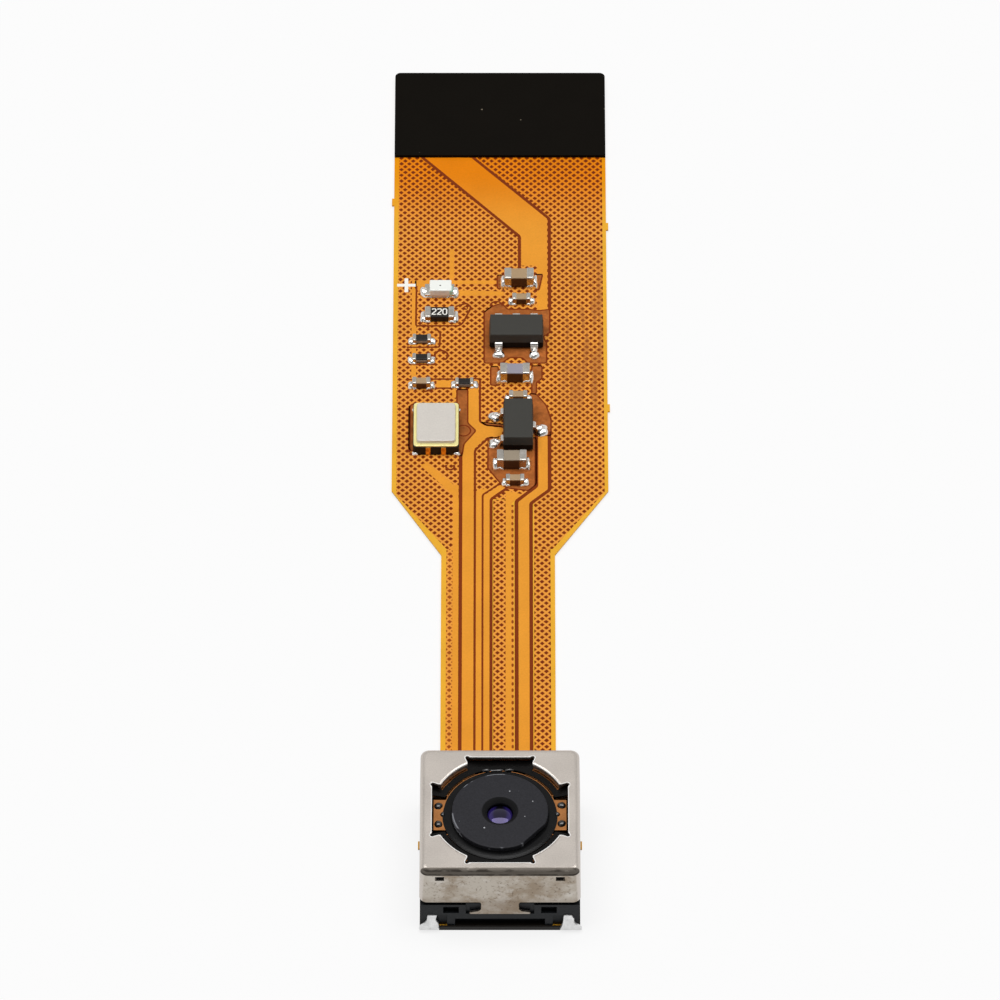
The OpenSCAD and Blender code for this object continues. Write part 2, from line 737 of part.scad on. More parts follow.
module regulator_2_leads() {
    color("#cfd2d6") translate([reg_2_at[0], head_y + reg_2_at[1], 0])
        rotate(90) reg_leads([-1, 1], [0]);
}

// ---------- Oscillator ----------

module osc_slab(inset, z, h) {
    translate([osc_at[0], head_y + osc_at[1], 0])
        centred_box(osc_w - 2 * inset, osc_l - 2 * inset, z, h);
}

module oscillator_base() {
    color("#3a3330") osc_slab(0, copper_top, osc_base_h);
}

module oscillator_ring() {
    z = copper_top + osc_base_h;
    color("#d8a63c") osc_slab(osc_ring_inset, z, osc_ring_h);
}

module oscillator_lid() {
    color("#b9bbbd") osc_slab(osc_ring_inset * 1.6, copper_top + osc_base_h + osc_ring_h, osc_lid_h);
}

// ---------- Camera base ----------

module sensor_board() {
    color("#2d4a35") centred_box(board_w, board_w, film_top, board_t);
}

module image_sensor() {
    color("#4a5068") centred_box(sensor_w, sensor_d, film_top + board_t, sensor_t);
}

module infrared_filter() {
    color("#7fa8a0") centred_box(filter_w, filter_w, filter_z, filter_t);
}

// The ledge, feet and recesses on the front and the rear of the base
ledge_half_w = 2.7;                     // half width of the ledge under a tab
ledge_z = [0.85, 1.2];                  // lower and upper edge of the ledge
hollow_half_w = 2.3;                    // half width of the hollow below the ledge
hollow_top = 0.8;
hollow_d = 0.3;                         // depth of that hollow
pocket_x = [2.1, 2.9];                  // small pockets in the base's blocks
pocket_z = [1.25, 1.75];
pocket_d = 0.3;

module base_front_cuts() {
    front = -base_x;
    translate([-base_recess_half_w, front - cut, ledge_z[1]])
        cube([2 * base_recess_half_w, cut + base_recess_d, base_top_z]);
    translate([-hollow_half_w, front - cut, film_top - cut])
        cube([2 * hollow_half_w, cut + hollow_d, hollow_top - film_top + cut]);
    left_and_right() {
        translate([pocket_x[0], front - cut, pocket_z[0]])
            cube([pocket_x[1] - pocket_x[0], cut + pocket_d, pocket_z[1] - pocket_z[0]]);
        translate([ledge_half_w, front - cut, film_top - cut])
            cube([terminal_x - terminal_w / 2 - terminal_seat - ledge_half_w, cut + base_recess_d,
                  terminal_z - film_top + cut]);
    }
}

module camera_base() {
    color("#1a1b1d") difference() {
        centred_box(base_w, base_w, film_top, base_top_z - film_top);
        // Step around the upper edge, where the can comes down over the base
        difference() {
            centred_box(base_w + cut, base_w + cut, base_shoulder_z, cut + base_top_z);
            centred_box(base_top_w, base_top_w, 0, camera_h);
        }
        centred_box(cavity_w, cavity_w, film_top - cut, cavity_z - film_top + cut);
        centred_box(filter_w, filter_w, cavity_z - cut, filter_z + filter_t - cavity_z + cut);
        centred_box(window_w, window_w, cavity_z, base_top_z);
        for (turn = [0, 180]) rotate(turn) base_front_cuts();
    }
}

module actuator_terminals() {
    color("#c8cacc") left_and_right()
        translate([terminal_x - terminal_w / 2, -base_x - terminal_t, copper_top])
            cube([terminal_w, terminal_t, terminal_z - copper_top]);
}

// ---------- Shield can ----------

// Upright outline of half a wall's profile, with a rounded top edge
module wall_profile(half, h, edge_r) {
    square([half, h - edge_r]);
    square([half - edge_r, h]);
    translate([half - edge_r, h - edge_r]) circle(edge_r);
}

// A square block that stands on z = 0, with round upright corners and a round top edge
module rounded_block(half, h, corner_r, edge_r) {
    four_corners()
        translate([half - corner_r, half - corner_r, 0])
            rotate_extrude() intersection() {
                wall_profile(corner_r, h, edge_r);
                square([corner_r, h]);
            }
    for (turn = [0 : 90 : 270]) rotate(turn)
        translate([0, half - corner_r, 0]) rotate([90, 0, 0])
            linear_extrude(2 * (half - corner_r))
                intersection() {
                    wall_profile(half, h, edge_r);
                    square([half, h]);
                }
}

// The opening in the can's top: a circle, four notches and their corner reliefs
module opening_outline(grow) {
    circle(opening_r + grow);
    for (turn = [0, 90]) rotate(turn) {
        square([2 * (notch_out + grow), 2 * (notch_half_w + grow)], center = true);
        four_corners()
            translate([notch_out - relief_r * 1.2, notch_half_w - relief_r * 0.2])
                circle(relief_r + grow);
    }
}

// The four arcs of the flange that is folded down inside the opening
module flange_outline() {
    difference() {
        ring(opening_r + can_t, opening_r);
        for (turn = [0, 90]) rotate(turn)
            square([2 * can_w, 2 * notch_half_w], center = true);
    }
}

module tab() {
    translate([0, -can_in, 0]) rotate([90, 0, 0]) linear_extrude(can_t) {
        translate([-tab_w / 2, tab_z]) square([tab_w, can_skirt_z - tab_z + can_t]);
        translate([-hook_w / 2, tab_z + hook_lift]) square([hook_w, hook_h]);
    }
}

module shield_can() {
    color("#bdb6ae") {
        difference() {
            translate([0, 0, can_skirt_z])
                rounded_block(can_x, camera_h - can_skirt_z, can_corner_r, can_edge_r);
            translate([0, 0, can_skirt_z - cut])
                rounded_block(can_in, can_under - can_skirt_z + cut,
                              can_corner_r - can_t, can_edge_r - can_t);
            raise(can_under - cut, can_t + 2 * cut) opening_outline(0);
            for (x = [-slot_x, slot_x])
                translate([x, 0, camera_h - slot_drop])
                    cube([slot_w, 2 * can_w, slot_h], center = true);
        }
        raise(camera_h - flange_depth, flange_depth - can_t) flange_outline();
        for (turn = [0, 180]) rotate(turn) tab();
    }
}

// ---------- Focus actuator ----------

module corner_magnet() {
    raise(base_top_z + magnet_lift, spring_z - base_top_z - magnet_lift) difference() {
        translate([magnet_free, magnet_free])
            square(can_in - magnet_free);
        circle(magnet_r);
        translate([can_in, can_in]) circle(can_corner_r);
    }
}

module magnets() {
    color("#8d8f92") four_corners() corner_magnet();
}

spacer_clear = 0.05;                    // gap between the spacer and the can's flange and notches

module spring_spacer() {
    half = can_in - (can_edge_r - can_t);
    color("#17181a") raise(spring_z + spring_t, can_under - spring_z - spring_t) difference() {
        square(2 * half, center = true);
        opening_outline(spacer_clear);
        circle(opening_r + can_t + spacer_clear);
        four_corners() translate([half, half]) circle(can_corner_r);
    }
}

// Outer frame of a leaf spring: square outside, round inside between the gaps
frame_in = carrier_r + spring_arm_w + 2 * spring_slot;
frame_out = can_in - spacer_clear;

module spring_frame() {
    difference() {
        square(2 * frame_out, center = true);
        circle(frame_in);
        four_corners() translate([frame_out, frame_out]) circle(can_corner_r);
        for (turn = [0, 90]) rotate(turn)
            square([2 * (notch_out + spacer_clear), 2 * spring_gap_half_w], center = true);
    }
}

// A thin arm that runs around the lens, joined to the ring at one end and the frame at the other
arm_from = 24;                          // start of an arm, in degrees
arm_to = 66;                            // end of an arm
arm_foot = 3;                           // width of its two feet, in degrees

module sector(from, to) {
    reach = 2 * can_w;
    polygon([[0, 0], reach * [cos(from), sin(from)], reach * [cos(to), sin(to)]]);
}

module spring_arm() {
    arm_in = carrier_r + spring_slot;
    intersection() {
        ring(arm_in + spring_arm_w, arm_in);
        sector(arm_from, arm_to);
    }
    intersection() {
        ring(arm_in + spring_arm_w / 2, carrier_r - spring_ring_w / 2);
        sector(arm_from, arm_from + arm_foot);
    }
    intersection() {
        ring(frame_in + spring_ring_w / 2, arm_in + spring_arm_w / 2);
        sector(arm_to - arm_foot, arm_to);
    }
}

module leaf_spring(with_wings) {
    spring_frame();
    ring(carrier_r, carrier_r - spring_ring_w);
    four_corners() spring_arm();
    if (with_wings) left_and_right()
        difference() {
            translate([0, -wing_half_w]) square([wing_out, 2 * wing_half_w]);
            circle(carrier_r - spring_ring_w);
        }
}

module upper_spring() {
    color("#b8793f") raise(spring_z, spring_t) leaf_spring(true);
}

module lower_spring() {
    color("#b8793f") raise(base_top_z, spring_t) leaf_spring(false);
}

module coil() {
    z = carrier_z + carrier_foot_h;
    color("#b4602c") raise(z, carrier_top_z - carrier_flange_h - z)
        ring(coil_r, coil_r - coil_t);
}

module lens_carrier() {
    core_r = coil_r - coil_t;
    color("#1c1c1e") difference() {
        union() {
            raise(carrier_z, carrier_top_z - carrier_z) circle(core_r);
            raise(carrier_z, carrier_foot_h) circle(carrier_r);
            raise(carrier_top_z - carrier_flange_h, carrier_flange_h) {
                circle(carrier_r);
                square([2 * wing_out, 2 * wing_half_w], center = true);
            }
        }
        raise(carrier_z - cut, carrier_top_z - carrier_z + 2 * cut) circle(carrier_bore_r);
        // Room for the barrel's wider front
        raise(barrel_top - barrel_rim_h - barrel_clear, camera_h)
            circle(barrel_r + barrel_clear);
    }
}

module glue_dots() {
    color("#0c0c0d") raise(spring_z + spring_t, glue_h) left_and_right() {
        for (y = [-glue_y, glue_y])
            translate([wing_out - glue_r - spacer_clear, y]) circle(glue_r);
        translate([carrier_r, 0]) circle(glue_r * 0.6);
    }
}

// ---------- Lens ----------

flat_turn = -42;                        // direction of the flat on the barrel's front
flat_d = 0.17;                          // depth of that flat

module lens_barrel() {
    seat_top = lens_1_z + lens_1_t;
    color("#232426") difference() {
        rotate_extrude() polygon([
            [aperture_r, seat_top], [aperture_r, seat_top + aperture_l], [cone_r, barrel_top],
            [barrel_r, barrel_top], [barrel_r, barrel_top - barrel_rim_h],
            [barrel_skirt_r, barrel_top - barrel_rim_h], [barrel_skirt_r, barrel_z],
            [lens_3_r, barrel_z], [lens_3_r, lens_3_z + lens_3_t + stop_t],
            [lens_2_r, lens_3_z + lens_3_t + stop_t], [lens_2_r, lens_2_z + lens_2_t + stop_t],
            [lens_1_r, lens_2_z + lens_2_t + stop_t], [lens_1_r, seat_top]]);
        rotate(flat_turn) translate([barrel_r - flat_d, -barrel_r, barrel_top - barrel_rim_h])
            cube([barrel_r, 2 * barrel_r, camera_h]);
    }
}

// A dome of radius r that rises by the bulge
module dome(r) {
    sphere_r = (r * r + lens_bulge * lens_bulge) / (2 * lens_bulge);
    intersection() {
        translate([0, 0, lens_bulge - sphere_r]) sphere(sphere_r);
        cylinder(h = lens_bulge, r = r);
    }
}

// A lens with an edge of thickness t, a domed front and a hollow rear
module lens(r, clear_r, z, t) {
    color("#9fb4c8") {
        difference() {
            translate([0, 0, z]) cylinder(h = t, r = r);
            translate([0, 0, z - 0.001]) dome(clear_r);
        }
        translate([0, 0, z + t]) dome(clear_r * 0.95);
    }
}

module front_lens() {
    lens(lens_1_r, aperture_r, lens_1_z, lens_1_t);
}

module middle_lens() {
    lens(lens_2_r, lens_1_r * 0.7, lens_2_z, lens_2_t);
}

module rear_lens() {
    lens(lens_3_r, lens_2_r * 0.8, lens_3_z, lens_3_t);
}

// Thin black rings between the lenses and the ring that holds them in
module lens_stops() {
    color("#0f0f10") {
        raise(lens_1_z - stop_t, stop_t) ring(lens_1_r, lens_1_r * 0.75);
        raise(lens_2_z - stop_t, stop_t) ring(lens_2_r, lens_2_r * 0.85);
        raise(lens_3_z - retainer_t, retainer_t) ring(lens_3_r, lens_3_r * 0.85);
    }
}

// ---------- The nodes ----------

flex_film();
tail_stiffener();
back_plate();
tail_contacts();
ground_mesh();
supply_track();
signal_tracks();
solder_pads();
solder_joints();
cross_mark();
led_base();
led_lens();
led_ends();
resistor(0, false);  // resistor_1
resistor(0, true);  // resistor_1_ends
resistor(1, false);  // resistor_2
resistor(1, true);  // resistor_2_ends
resistor(2, false);  // resistor_3
resistor(2, true);  // resistor_3_ends
resistor(3, false);  // resistor_4
resistor(3, true);  // resistor_4_ends
capacitor(0, false);  // capacitor_1
capacitor(0, true);  // capacitor_1_ends
capacitor(1, false);  // capacitor_2
capacitor(1, true);  // capacitor_2_ends
capacitor(2, false);  // capacitor_3
capacitor(2, true);  // capacitor_3_ends
capacitor(3, false);  // capacitor_4
capacitor(3, true);  // capacitor_4_ends
capacitor(4, false);  // capacitor_5
capacitor(4, true);  // capacitor_5_ends
capacitor(5, false);  // capacitor_6
capacitor(5, true);  // capacitor_6_ends
capacitor(6, false);  // capacitor_7
capacitor(6, true);  // capacitor_7_ends
regulator_1();
regulator_1_leads();
regulator_2();
regulator_2_leads();
oscillator_base();
oscillator_ring();
oscillator_lid();
sensor_board();
image_sensor();
infrared_filter();
camera_base();
actuator_terminals();
shield_can();
magnets();
spring_spacer();
coil();
lens_carrier();
lens_barrel();
front_lens();
middle_lens();
rear_lens();
lens_stops();
upper_spring();
lower_spring();
glue_dots();
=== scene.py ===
"""Looks for a phone camera module: a lens in a metal can, at one end of a copper film that carries small
chips and ends in a stiff black tail. Lengths here are in millimetres; piece() turns them into metres."""
import math
import bmesh
import bpy
import numpy as np
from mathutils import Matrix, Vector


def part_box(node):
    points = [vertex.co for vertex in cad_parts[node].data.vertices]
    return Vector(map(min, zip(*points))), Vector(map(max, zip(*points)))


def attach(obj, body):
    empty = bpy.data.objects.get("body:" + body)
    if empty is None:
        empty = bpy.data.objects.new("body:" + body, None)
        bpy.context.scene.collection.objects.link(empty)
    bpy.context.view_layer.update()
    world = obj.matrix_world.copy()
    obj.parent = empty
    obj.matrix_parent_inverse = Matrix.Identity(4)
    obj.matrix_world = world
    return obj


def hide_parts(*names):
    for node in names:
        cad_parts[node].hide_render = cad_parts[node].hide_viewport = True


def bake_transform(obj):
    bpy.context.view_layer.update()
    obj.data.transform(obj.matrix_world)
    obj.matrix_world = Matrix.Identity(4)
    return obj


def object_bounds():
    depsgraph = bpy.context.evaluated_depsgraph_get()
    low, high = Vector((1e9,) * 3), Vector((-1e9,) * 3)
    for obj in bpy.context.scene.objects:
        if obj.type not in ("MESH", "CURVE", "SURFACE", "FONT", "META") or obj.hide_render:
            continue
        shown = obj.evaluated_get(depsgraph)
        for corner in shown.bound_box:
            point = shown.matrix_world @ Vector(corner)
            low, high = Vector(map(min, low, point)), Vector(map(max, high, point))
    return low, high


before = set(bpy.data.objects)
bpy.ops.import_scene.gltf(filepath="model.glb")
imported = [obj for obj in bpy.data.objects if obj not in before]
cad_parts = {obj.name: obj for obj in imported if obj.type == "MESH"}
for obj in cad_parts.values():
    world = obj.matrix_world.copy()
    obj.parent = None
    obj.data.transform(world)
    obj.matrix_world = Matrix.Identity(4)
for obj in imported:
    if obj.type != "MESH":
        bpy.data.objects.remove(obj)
CAD_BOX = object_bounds()
MM = 0.001
BODY = "module"
FOCUS = "lens_carrier"
SIDES = (-1, 1)
X, Y, Z = 0, 1, 2


def node_box(name):
    """Lowest and highest corner of a CAD node, in millimetres."""
    low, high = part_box(name)
    return np.array(low) / MM, np.array(high) / MM


def heights(name):
    """Underside and top of a CAD node, in millimetres."""
    low, high = node_box(name)
    return low[2], high[2]


FILM_LOW, FILM_TOP = heights("flex_film")
SPRING_LOW, SPRING_TOP = heights("upper_spring")
BARREL_LOW, BARREL_TOP = heights("lens_barrel")
CAN_TOP = heights("shield_can")[1]
CAN_BOTTOM = heights("camera_base")[1]
CAN_HALF = node_box("shield_can")[1][0] + 0.02
BASE_HALF = node_box("camera_base")[1][0]


# -------------------------------------------------------- shapes, each as (points, faces) in millimetres

HOLD = 0.006                     # from a bend to a line of points beside it, so that the flat shades flat


def grid(rows, cols, round_cols=True, round_rows=False):
    """Four-sided faces between neighbours of a grid of points, joined round where the grid closes on
    itself."""
    r, c = np.meshgrid(np.arange(rows - (not round_rows)), np.arange(cols - (not round_cols)), indexing="ij")
    r2, c2 = (r + 1) % rows, (c + 1) % cols
    corners = [r * cols + c, r * cols + c2, r2 * cols + c2, r2 * cols + c]
    return np.stack(corners, -1).reshape(-1, 4).tolist()


def joined(*shapes):
    """Several shapes as one: the points in a row, each shape's faces counted on from the points before
    it."""
    points, faces, start = [], [], 0
    for own_points, own_faces in shapes:
        points.append(np.asarray(own_points, float))
        faces += [[start + i for i in face] for face in own_faces]
        start += len(own_points)
    return np.vstack(points), faces


def loft(loops):
    """Closed loops with the same number of points, joined one to the next, with the first and last filled
    in."""
    loops = np.asarray(loops, float)
    rows, cols = loops.shape[:2]
    caps = [list(range(cols))[::-1], list(range((rows - 1) * cols, rows * cols))]
    return loops.reshape(-1, 3), grid(rows, cols) + caps


def with_z(xy, z):
    """Points of a flat loop raised to height z."""
    xy = np.asarray(xy, float)
    return np.column_stack([xy, np.broadcast_to(z, len(xy))])


def around(reach, angle, centre=(0, 0)):
    """Points at a distance from a centre, in each direction: centre + reach * (cos, sin)."""
    return np.column_stack([centre[0] + reach * np.cos(angle), centre[1] + reach * np.sin(angle)])


def round_rect(half_x, half_y, radius, steps=5, centre=(0, 0)):
    """Rectangle with corner arcs: each point is a corner's centre plus the radius along its direction. One
    more point lies on the straight side at each end of an arc, so that the flat sides shade flat."""
    quarter = np.radians(np.linspace(0, 90, steps + 1))
    quarter = np.concatenate([quarter[:1], quarter, quarter[-1:]])
    slip = np.concatenate([[-HOLD], np.zeros(steps + 1), [HOLD]])
    angle = np.concatenate([quarter + math.pi / 2 * k for k in range(4)])
    side = np.repeat([[1, 1], [-1, 1], [-1, -1], [1, -1]], steps + 3, axis=0)
    along = np.column_stack([-np.sin(angle), np.cos(angle)]) * np.tile(slip, 4)[:, None]
    middles = centre + side * (np.array([half_x, half_y]) - radius)
    return middles + along + radius * np.column_stack([np.cos(angle), np.sin(angle)])


def soft_block(low, high, corner=0.05, top=0.03, foot=0.0, lean=0.0, steps=4):
    """Block with rounded upright corners and rounded top and bottom edges. At edge angle a the outline is
    set in by edge * (1 - cos a) and its height is edge * sin a; lean sets the top in by a share of the
    height."""
    low, high = np.array(low, float), np.array(high, float)
    mid, half = (low + high) / 2, (high - low) / 2
    arc = np.radians(np.linspace(0, 90, steps + 1))
    back = arc[::-1]
    foot = max(foot, 1e-4)
    inset = np.concatenate([foot * (1 - np.cos(back)), [0, 0], top * (1 - np.cos(arc)), [top + HOLD]])
    z = np.concatenate([low[2] + foot * (1 - np.sin(back)), [low[2] + foot + HOLD, high[2] - top - HOLD],
                        high[2] - top * (1 - np.sin(arc)), high[2:]])
    inset = inset + lean * (z - low[2])
    return loft([with_z(round_rect(half[0] - i, half[1] - i, max(corner - i, 0.01), steps, mid[:2]), h)
                 for i, h in zip(inset, z)])


def set_in(outline, amount):
    """Closed outline moved inwards: each corner goes along the mean of its sides' normals, as long as a
    mitre."""
    p = np.asarray(outline, float)
    ahead = np.roll(p, -1, 0) - p
    ahead /= np.linalg.norm(ahead, axis=1)[:, None]
    normal = np.column_stack([-ahead[:, 1], ahead[:, 0]])
    mean = normal + np.roll(normal, 1, 0)
    mean *= 2 / np.maximum((mean ** 2).sum(1), 0.5)[:, None]
    area = np.sum(p[:, 0] * np.roll(p[:, 1], -1) - p[:, 1] * np.roll(p[:, 0], -1))
    return p + mean * amount * np.sign(area)


def rounded(points, radius, steps=4, closed=False):
    """Line with its corners cut by smooth bends: with a and b on the two sides of corner p, a bend is
    (1 - t) ^ 2 * a + 2 * t * (1 - t) * p + t ^ 2 * b."""
    p = np.asarray(points, float)

    def reach(other):
        """Where the bend meets the side that runs to the other corner."""
        length = np.maximum(np.linalg.norm(other - p, axis=1), 1e-9)
        return p + (other - p) * np.minimum(0.45, radius / length)[:, None]

    a, b = reach(np.roll(p, 1, 0)), reach(np.roll(p, -1, 0))
    t = np.linspace(0, 1, steps + 1)[None, :, None]
    bends = (1 - t) ** 2 * a[:, None] + 2 * t * (1 - t) * p[:, None] + t ** 2 * b[:, None]
    if closed:
        return bends.reshape(-1, 2)
    return np.vstack([p[:1], bends[1:-1].reshape(-1, 2), p[-1:]])


def plate(outline, low, high, edge):
    """Flat plate of any outline whose top edge is cut at an angle."""
    inner = set_in(outline, edge)
    return loft([with_z(outline, low), with_z(outline, high - edge), with_z(inner, high)])


def set_ring(inner, outer, low, high, edge):
    """Flat ring between two closed lines with equal numbers of points, its top edges cut at an angle."""
    share = edge / np.maximum(np.linalg.norm(outer - inner, axis=1), 2 * edge)[:, None]
    slant_in, slant_out = inner + (outer - inner) * share, outer + (inner - outer) * share
    loops = [with_z(inner, low), with_z(inner, high - edge), with_z(slant_in, high), with_z(slant_out, high),
             with_z(outer, high - edge), with_z(outer, low)]
    return np.asarray(loops).reshape(-1, 3), grid(len(loops), len(inner), True, True)


def strip(path, width, low, high, edge):
    """Flat strip along a line: the line moved to both sides along its mitres, with cut top edges."""
    p = np.asarray(path, float)
    ahead = np.diff(p, axis=0)
    ahead /= np.linalg.norm(ahead, axis=1)[:, None]
    normal = np.column_stack([-ahead[:, 1], ahead[:, 0]])
    mean = np.vstack([normal[:1], normal[:-1] + normal[1:], normal[-1:]])
    mean[1:-1] *= 2 / np.maximum((mean[1:-1] ** 2).sum(1), 0.6)[:, None]
    across = np.array([-0.5, -0.5, -0.5 + edge / width, 0.5 - edge / width, 0.5, 0.5]) * width
    height = np.array([low, high - edge, high, high, high - edge, low])
    xy = p[:, None] + mean[:, None] * across[None, :, None]
    z = np.broadcast_to(height[None, :, None], (*xy.shape[:2], 1))
    return loft(np.concatenate([xy, z], axis=2))


def turned(profile, centre=(0, 0), steps=48, closed=False, reach=None):
    """Profile of (radius, height) turned round an upright axis; reach(radius, angle) changes the radius."""
    profile = np.asarray(profile, float)
    a = np.linspace(0, 2 * math.pi, steps, endpoint=False)
    r = np.repeat(profile[:, :1], steps, axis=1)
    if reach is not None:
        r = reach(r, a[None, :])
    z = np.repeat(profile[:, 1:], steps, axis=1)
    points = np.stack([centre[0] + r * np.cos(a), centre[1] + r * np.sin(a), z], -1)
    if not closed:
        return loft(points)
    return points.reshape(-1, 3), grid(len(profile), steps, True, True)


def ring(centre, radius, width, low, high, start=0, end=360, steps=28, edge=0.002):
    """Flat ring, or the arc of one from start to end degrees."""
    if end - start < 360:
        path = around(radius, np.radians(np.linspace(start, end, steps + 1)), centre)
        return strip(path, width, low, high, edge)
    inner, outer = radius - width / 2, radius + width / 2
    return turned([(inner, low), (inner, high - edge), (inner + edge, high), (outer - edge, high),
                   (outer, high - edge), (outer, low)], centre, steps, closed=True)


def bead(centre, size, low, height, lumps=0.0, power=2.0, steps=20, rings=6, seed=1):
    """Drop of solder or glue: height * (1 - r ^ power) ^ 0.5 over an oval whose rim swells and shrinks in
    slow waves."""
    a = np.linspace(0, 2 * math.pi, steps, endpoint=False)
    wave = np.sin(2 * a + seed) + 0.6 * np.sin(3 * a + 2.1 * seed) + 0.4 * np.sin(5 * a + 0.7 * seed)
    wave = 1 + lumps * wave
    r = np.sin(np.linspace(math.pi / 2, 0, rings + 1))[:, None]
    z = low + height * np.sqrt(np.clip(1 - r ** power, 0, 1)) * (1 + 0.5 * lumps * np.cos(3 * a + seed) * r)
    x = centre[0] + size[0] * r * wave * np.cos(a)
    y = centre[1] + size[1] * r * wave * np.sin(a)
    return loft(np.stack([x, y, z + 0 * x], -1))


def lump(centre, half, low, height, seed, square=3.0, steps=28, rings=8):
    """Solder swollen round a chip's end: height * (1 - r ^ 2.4) ^ 0.6 over a rounded square whose edge and
    crown swell and sink in slow waves. The square's edge lies where |cos a| ^ square + |sin a| ^ square = 1
    / r."""
    a = np.linspace(0, 2 * math.pi, steps, endpoint=False)[None, :]
    r = np.concatenate([[1.0], np.sin(np.linspace(math.pi / 2, 0, rings + 1))])[:, None]
    reach = (np.abs(np.cos(a)) ** square + np.abs(np.sin(a)) ** square) ** (-1 / square)
    wave = 1 + 0.07 * np.sin(2 * a + 5 * seed) + 0.05 * np.sin(3 * a + 9 * seed)
    wave = wave + 0.03 * np.sin(5 * a + 4 * seed)
    z = low + 0.03 + height * np.clip(1 - r ** 2.4, 0, 1) ** 0.6 * (1 + 0.16 * r * np.cos(2 * a + 7 * seed))
    z[0] = low - 0.01
    x = centre[0] + half[0] * r * reach * wave * np.cos(a)
    y = centre[1] + half[1] * r * reach * wave * np.sin(a)
    return loft(np.stack([x, y, z], -1))


def bent_strip(path, width, thick, across, edge=0.015):
    """Strip of sheet metal bent along a path: its rounded cross-section is carried square to the path."""
    p = np.asarray(path, float)
    tangent = np.gradient(p, axis=0)
    tangent /= np.linalg.norm(tangent, axis=1)[:, None]
    normal = np.cross(tangent, across)
    outline = round_rect(width / 2, thick / 2, edge, 2)
    return loft(p[:, None] + outline[None, :, :1] * across + outline[None, :, 1:] * normal[:, None])


# ---------------------------------------------------------------- objects

def piece(name, parts, body=BODY, stands_for=(), sharp=38):
    """One object in metres from (shape, material) pairs. It rides on a body, if one is given, stands for
    CAD nodes, and has sharp edges where its faces turn by more than so many degrees."""
    mesh = bpy.data.meshes.new(name)
    points, faces = joined(*[shape for shape, _ in parts])
    mesh.from_pydata((points * MM).tolist(), [], faces)
    kinds = list(dict.fromkeys(material for _, material in parts))
    for material in kinds:
        mesh.materials.append(material)
    counts = [len(shape[1]) for shape, _ in parts]
    mesh.polygons.foreach_set("material_index", np.repeat([kinds.index(m) for _, m in parts], counts))
    work = bmesh.new()
    work.from_mesh(mesh)
    bmesh.ops.remove_doubles(work, verts=work.verts, dist=1e-8)
    bmesh.ops.recalc_face_normals(work, faces=work.faces)
    work.to_mesh(mesh)
    work.free()
    mesh.polygons.foreach_set("use_smooth", np.ones(len(mesh.polygons), bool))
    mesh.set_sharp_from_angle(angle=math.radians(sharp))
    obj = bpy.data.objects.new(name, mesh)
    bpy.context.scene.collection.objects.link(obj)
    if body:
        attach(obj, body)
    if stands_for:
        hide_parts(*stands_for)
    return obj


def finish_node(name, material):
    """A CAD node keeps its shape and takes this finish in every one of its material slots."""
    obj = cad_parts[name]
    if not obj.material_slots:
        obj.data.materials.append(material)
    for place in obj.material_slots:
        place.material = material


# ---------------------------------------------------------------- nodes of a finish

def tint(*rgb):
    """Colour given as it looks, 0 to 255, as the shader wants it: ((c + 0.055) / 1.055) ^ 2.4, and straight
    near black."""
    c = np.array(rgb, float) / 255
    return (*np.where(c <= 0.04045, c / 12.92, ((c + 0.055) / 1.055) ** 2.4).tolist(), 1.0)


def node(tree, kind, inputs=(), **settings):
    """A shader node with its inputs linked or set, by number or by name."""
    made = tree.nodes.new("ShaderNode" + kind)
    for key, value in settings.items():
        setattr(made, key, value)
    for key, value in (inputs.items() if isinstance(inputs, dict) else enumerate(inputs)):
        if isinstance(value, bpy.types.NodeSocket):
            tree.links.new(value, made.inputs[key])
        elif value is not None:
            made.inputs[key].default_value = value
    return made


def calc(tree, operation, *values, clamp=False):
    """One sum of one or two values."""
    return node(tree, "Math", values, operation=operation, use_clamp=clamp).outputs[0]


def times(tree, first, second):
    """Two values multiplied."""
    return calc(tree, "MULTIPLY", first, second)


def opposite(tree, value):
    """1 less the value."""
    return calc(tree, "SUBTRACT", 1.0, value)


def mixed(tree, share, first, second):
    """First colour, turning into the second as share goes from 0 to 1."""
    return node(tree, "Mix", {0: share, 6: first, 7: second}, data_type="RGBA").outputs[2]


def step(tree, value, start, end):
    """0 below start, 1 above end, smooth between."""
    return node(tree, "MapRange", {0: value, 1: start, 2: end}, interpolation_type="SMOOTHSTEP").outputs[0]


def noise(tree, where, scale, detail=2.0, stretch=None):
    """Cloud noise, in lumps of about 1 / scale millimetres."""
    if stretch:
        where = node(tree, "Mapping", {0: where, 3: stretch}).outputs[0]
    inputs = {"Vector": where, "Scale": scale / MM, "Detail": detail, "Roughness": 0.6}
    return node(tree, "TexNoise", inputs).outputs[0]


def coordinate(tree, where, axis):
    """One coordinate of a point, in millimetres."""
    return calc(tree, "DIVIDE", node(tree, "SeparateXYZ", [where]).outputs[axis], MM)


def from_axis(tree, where):
    """Distance from the lens axis, in millimetres: (x ^ 2 + y ^ 2) ^ 0.5."""
    place = node(tree, "SeparateXYZ", [where]).outputs
    squares = calc(tree, "ADD", calc(tree, "POWER", place[X], 2.0), calc(tree, "POWER", place[Y], 2.0))
    return calc(tree, "DIVIDE", calc(tree, "SQRT", squares), MM)


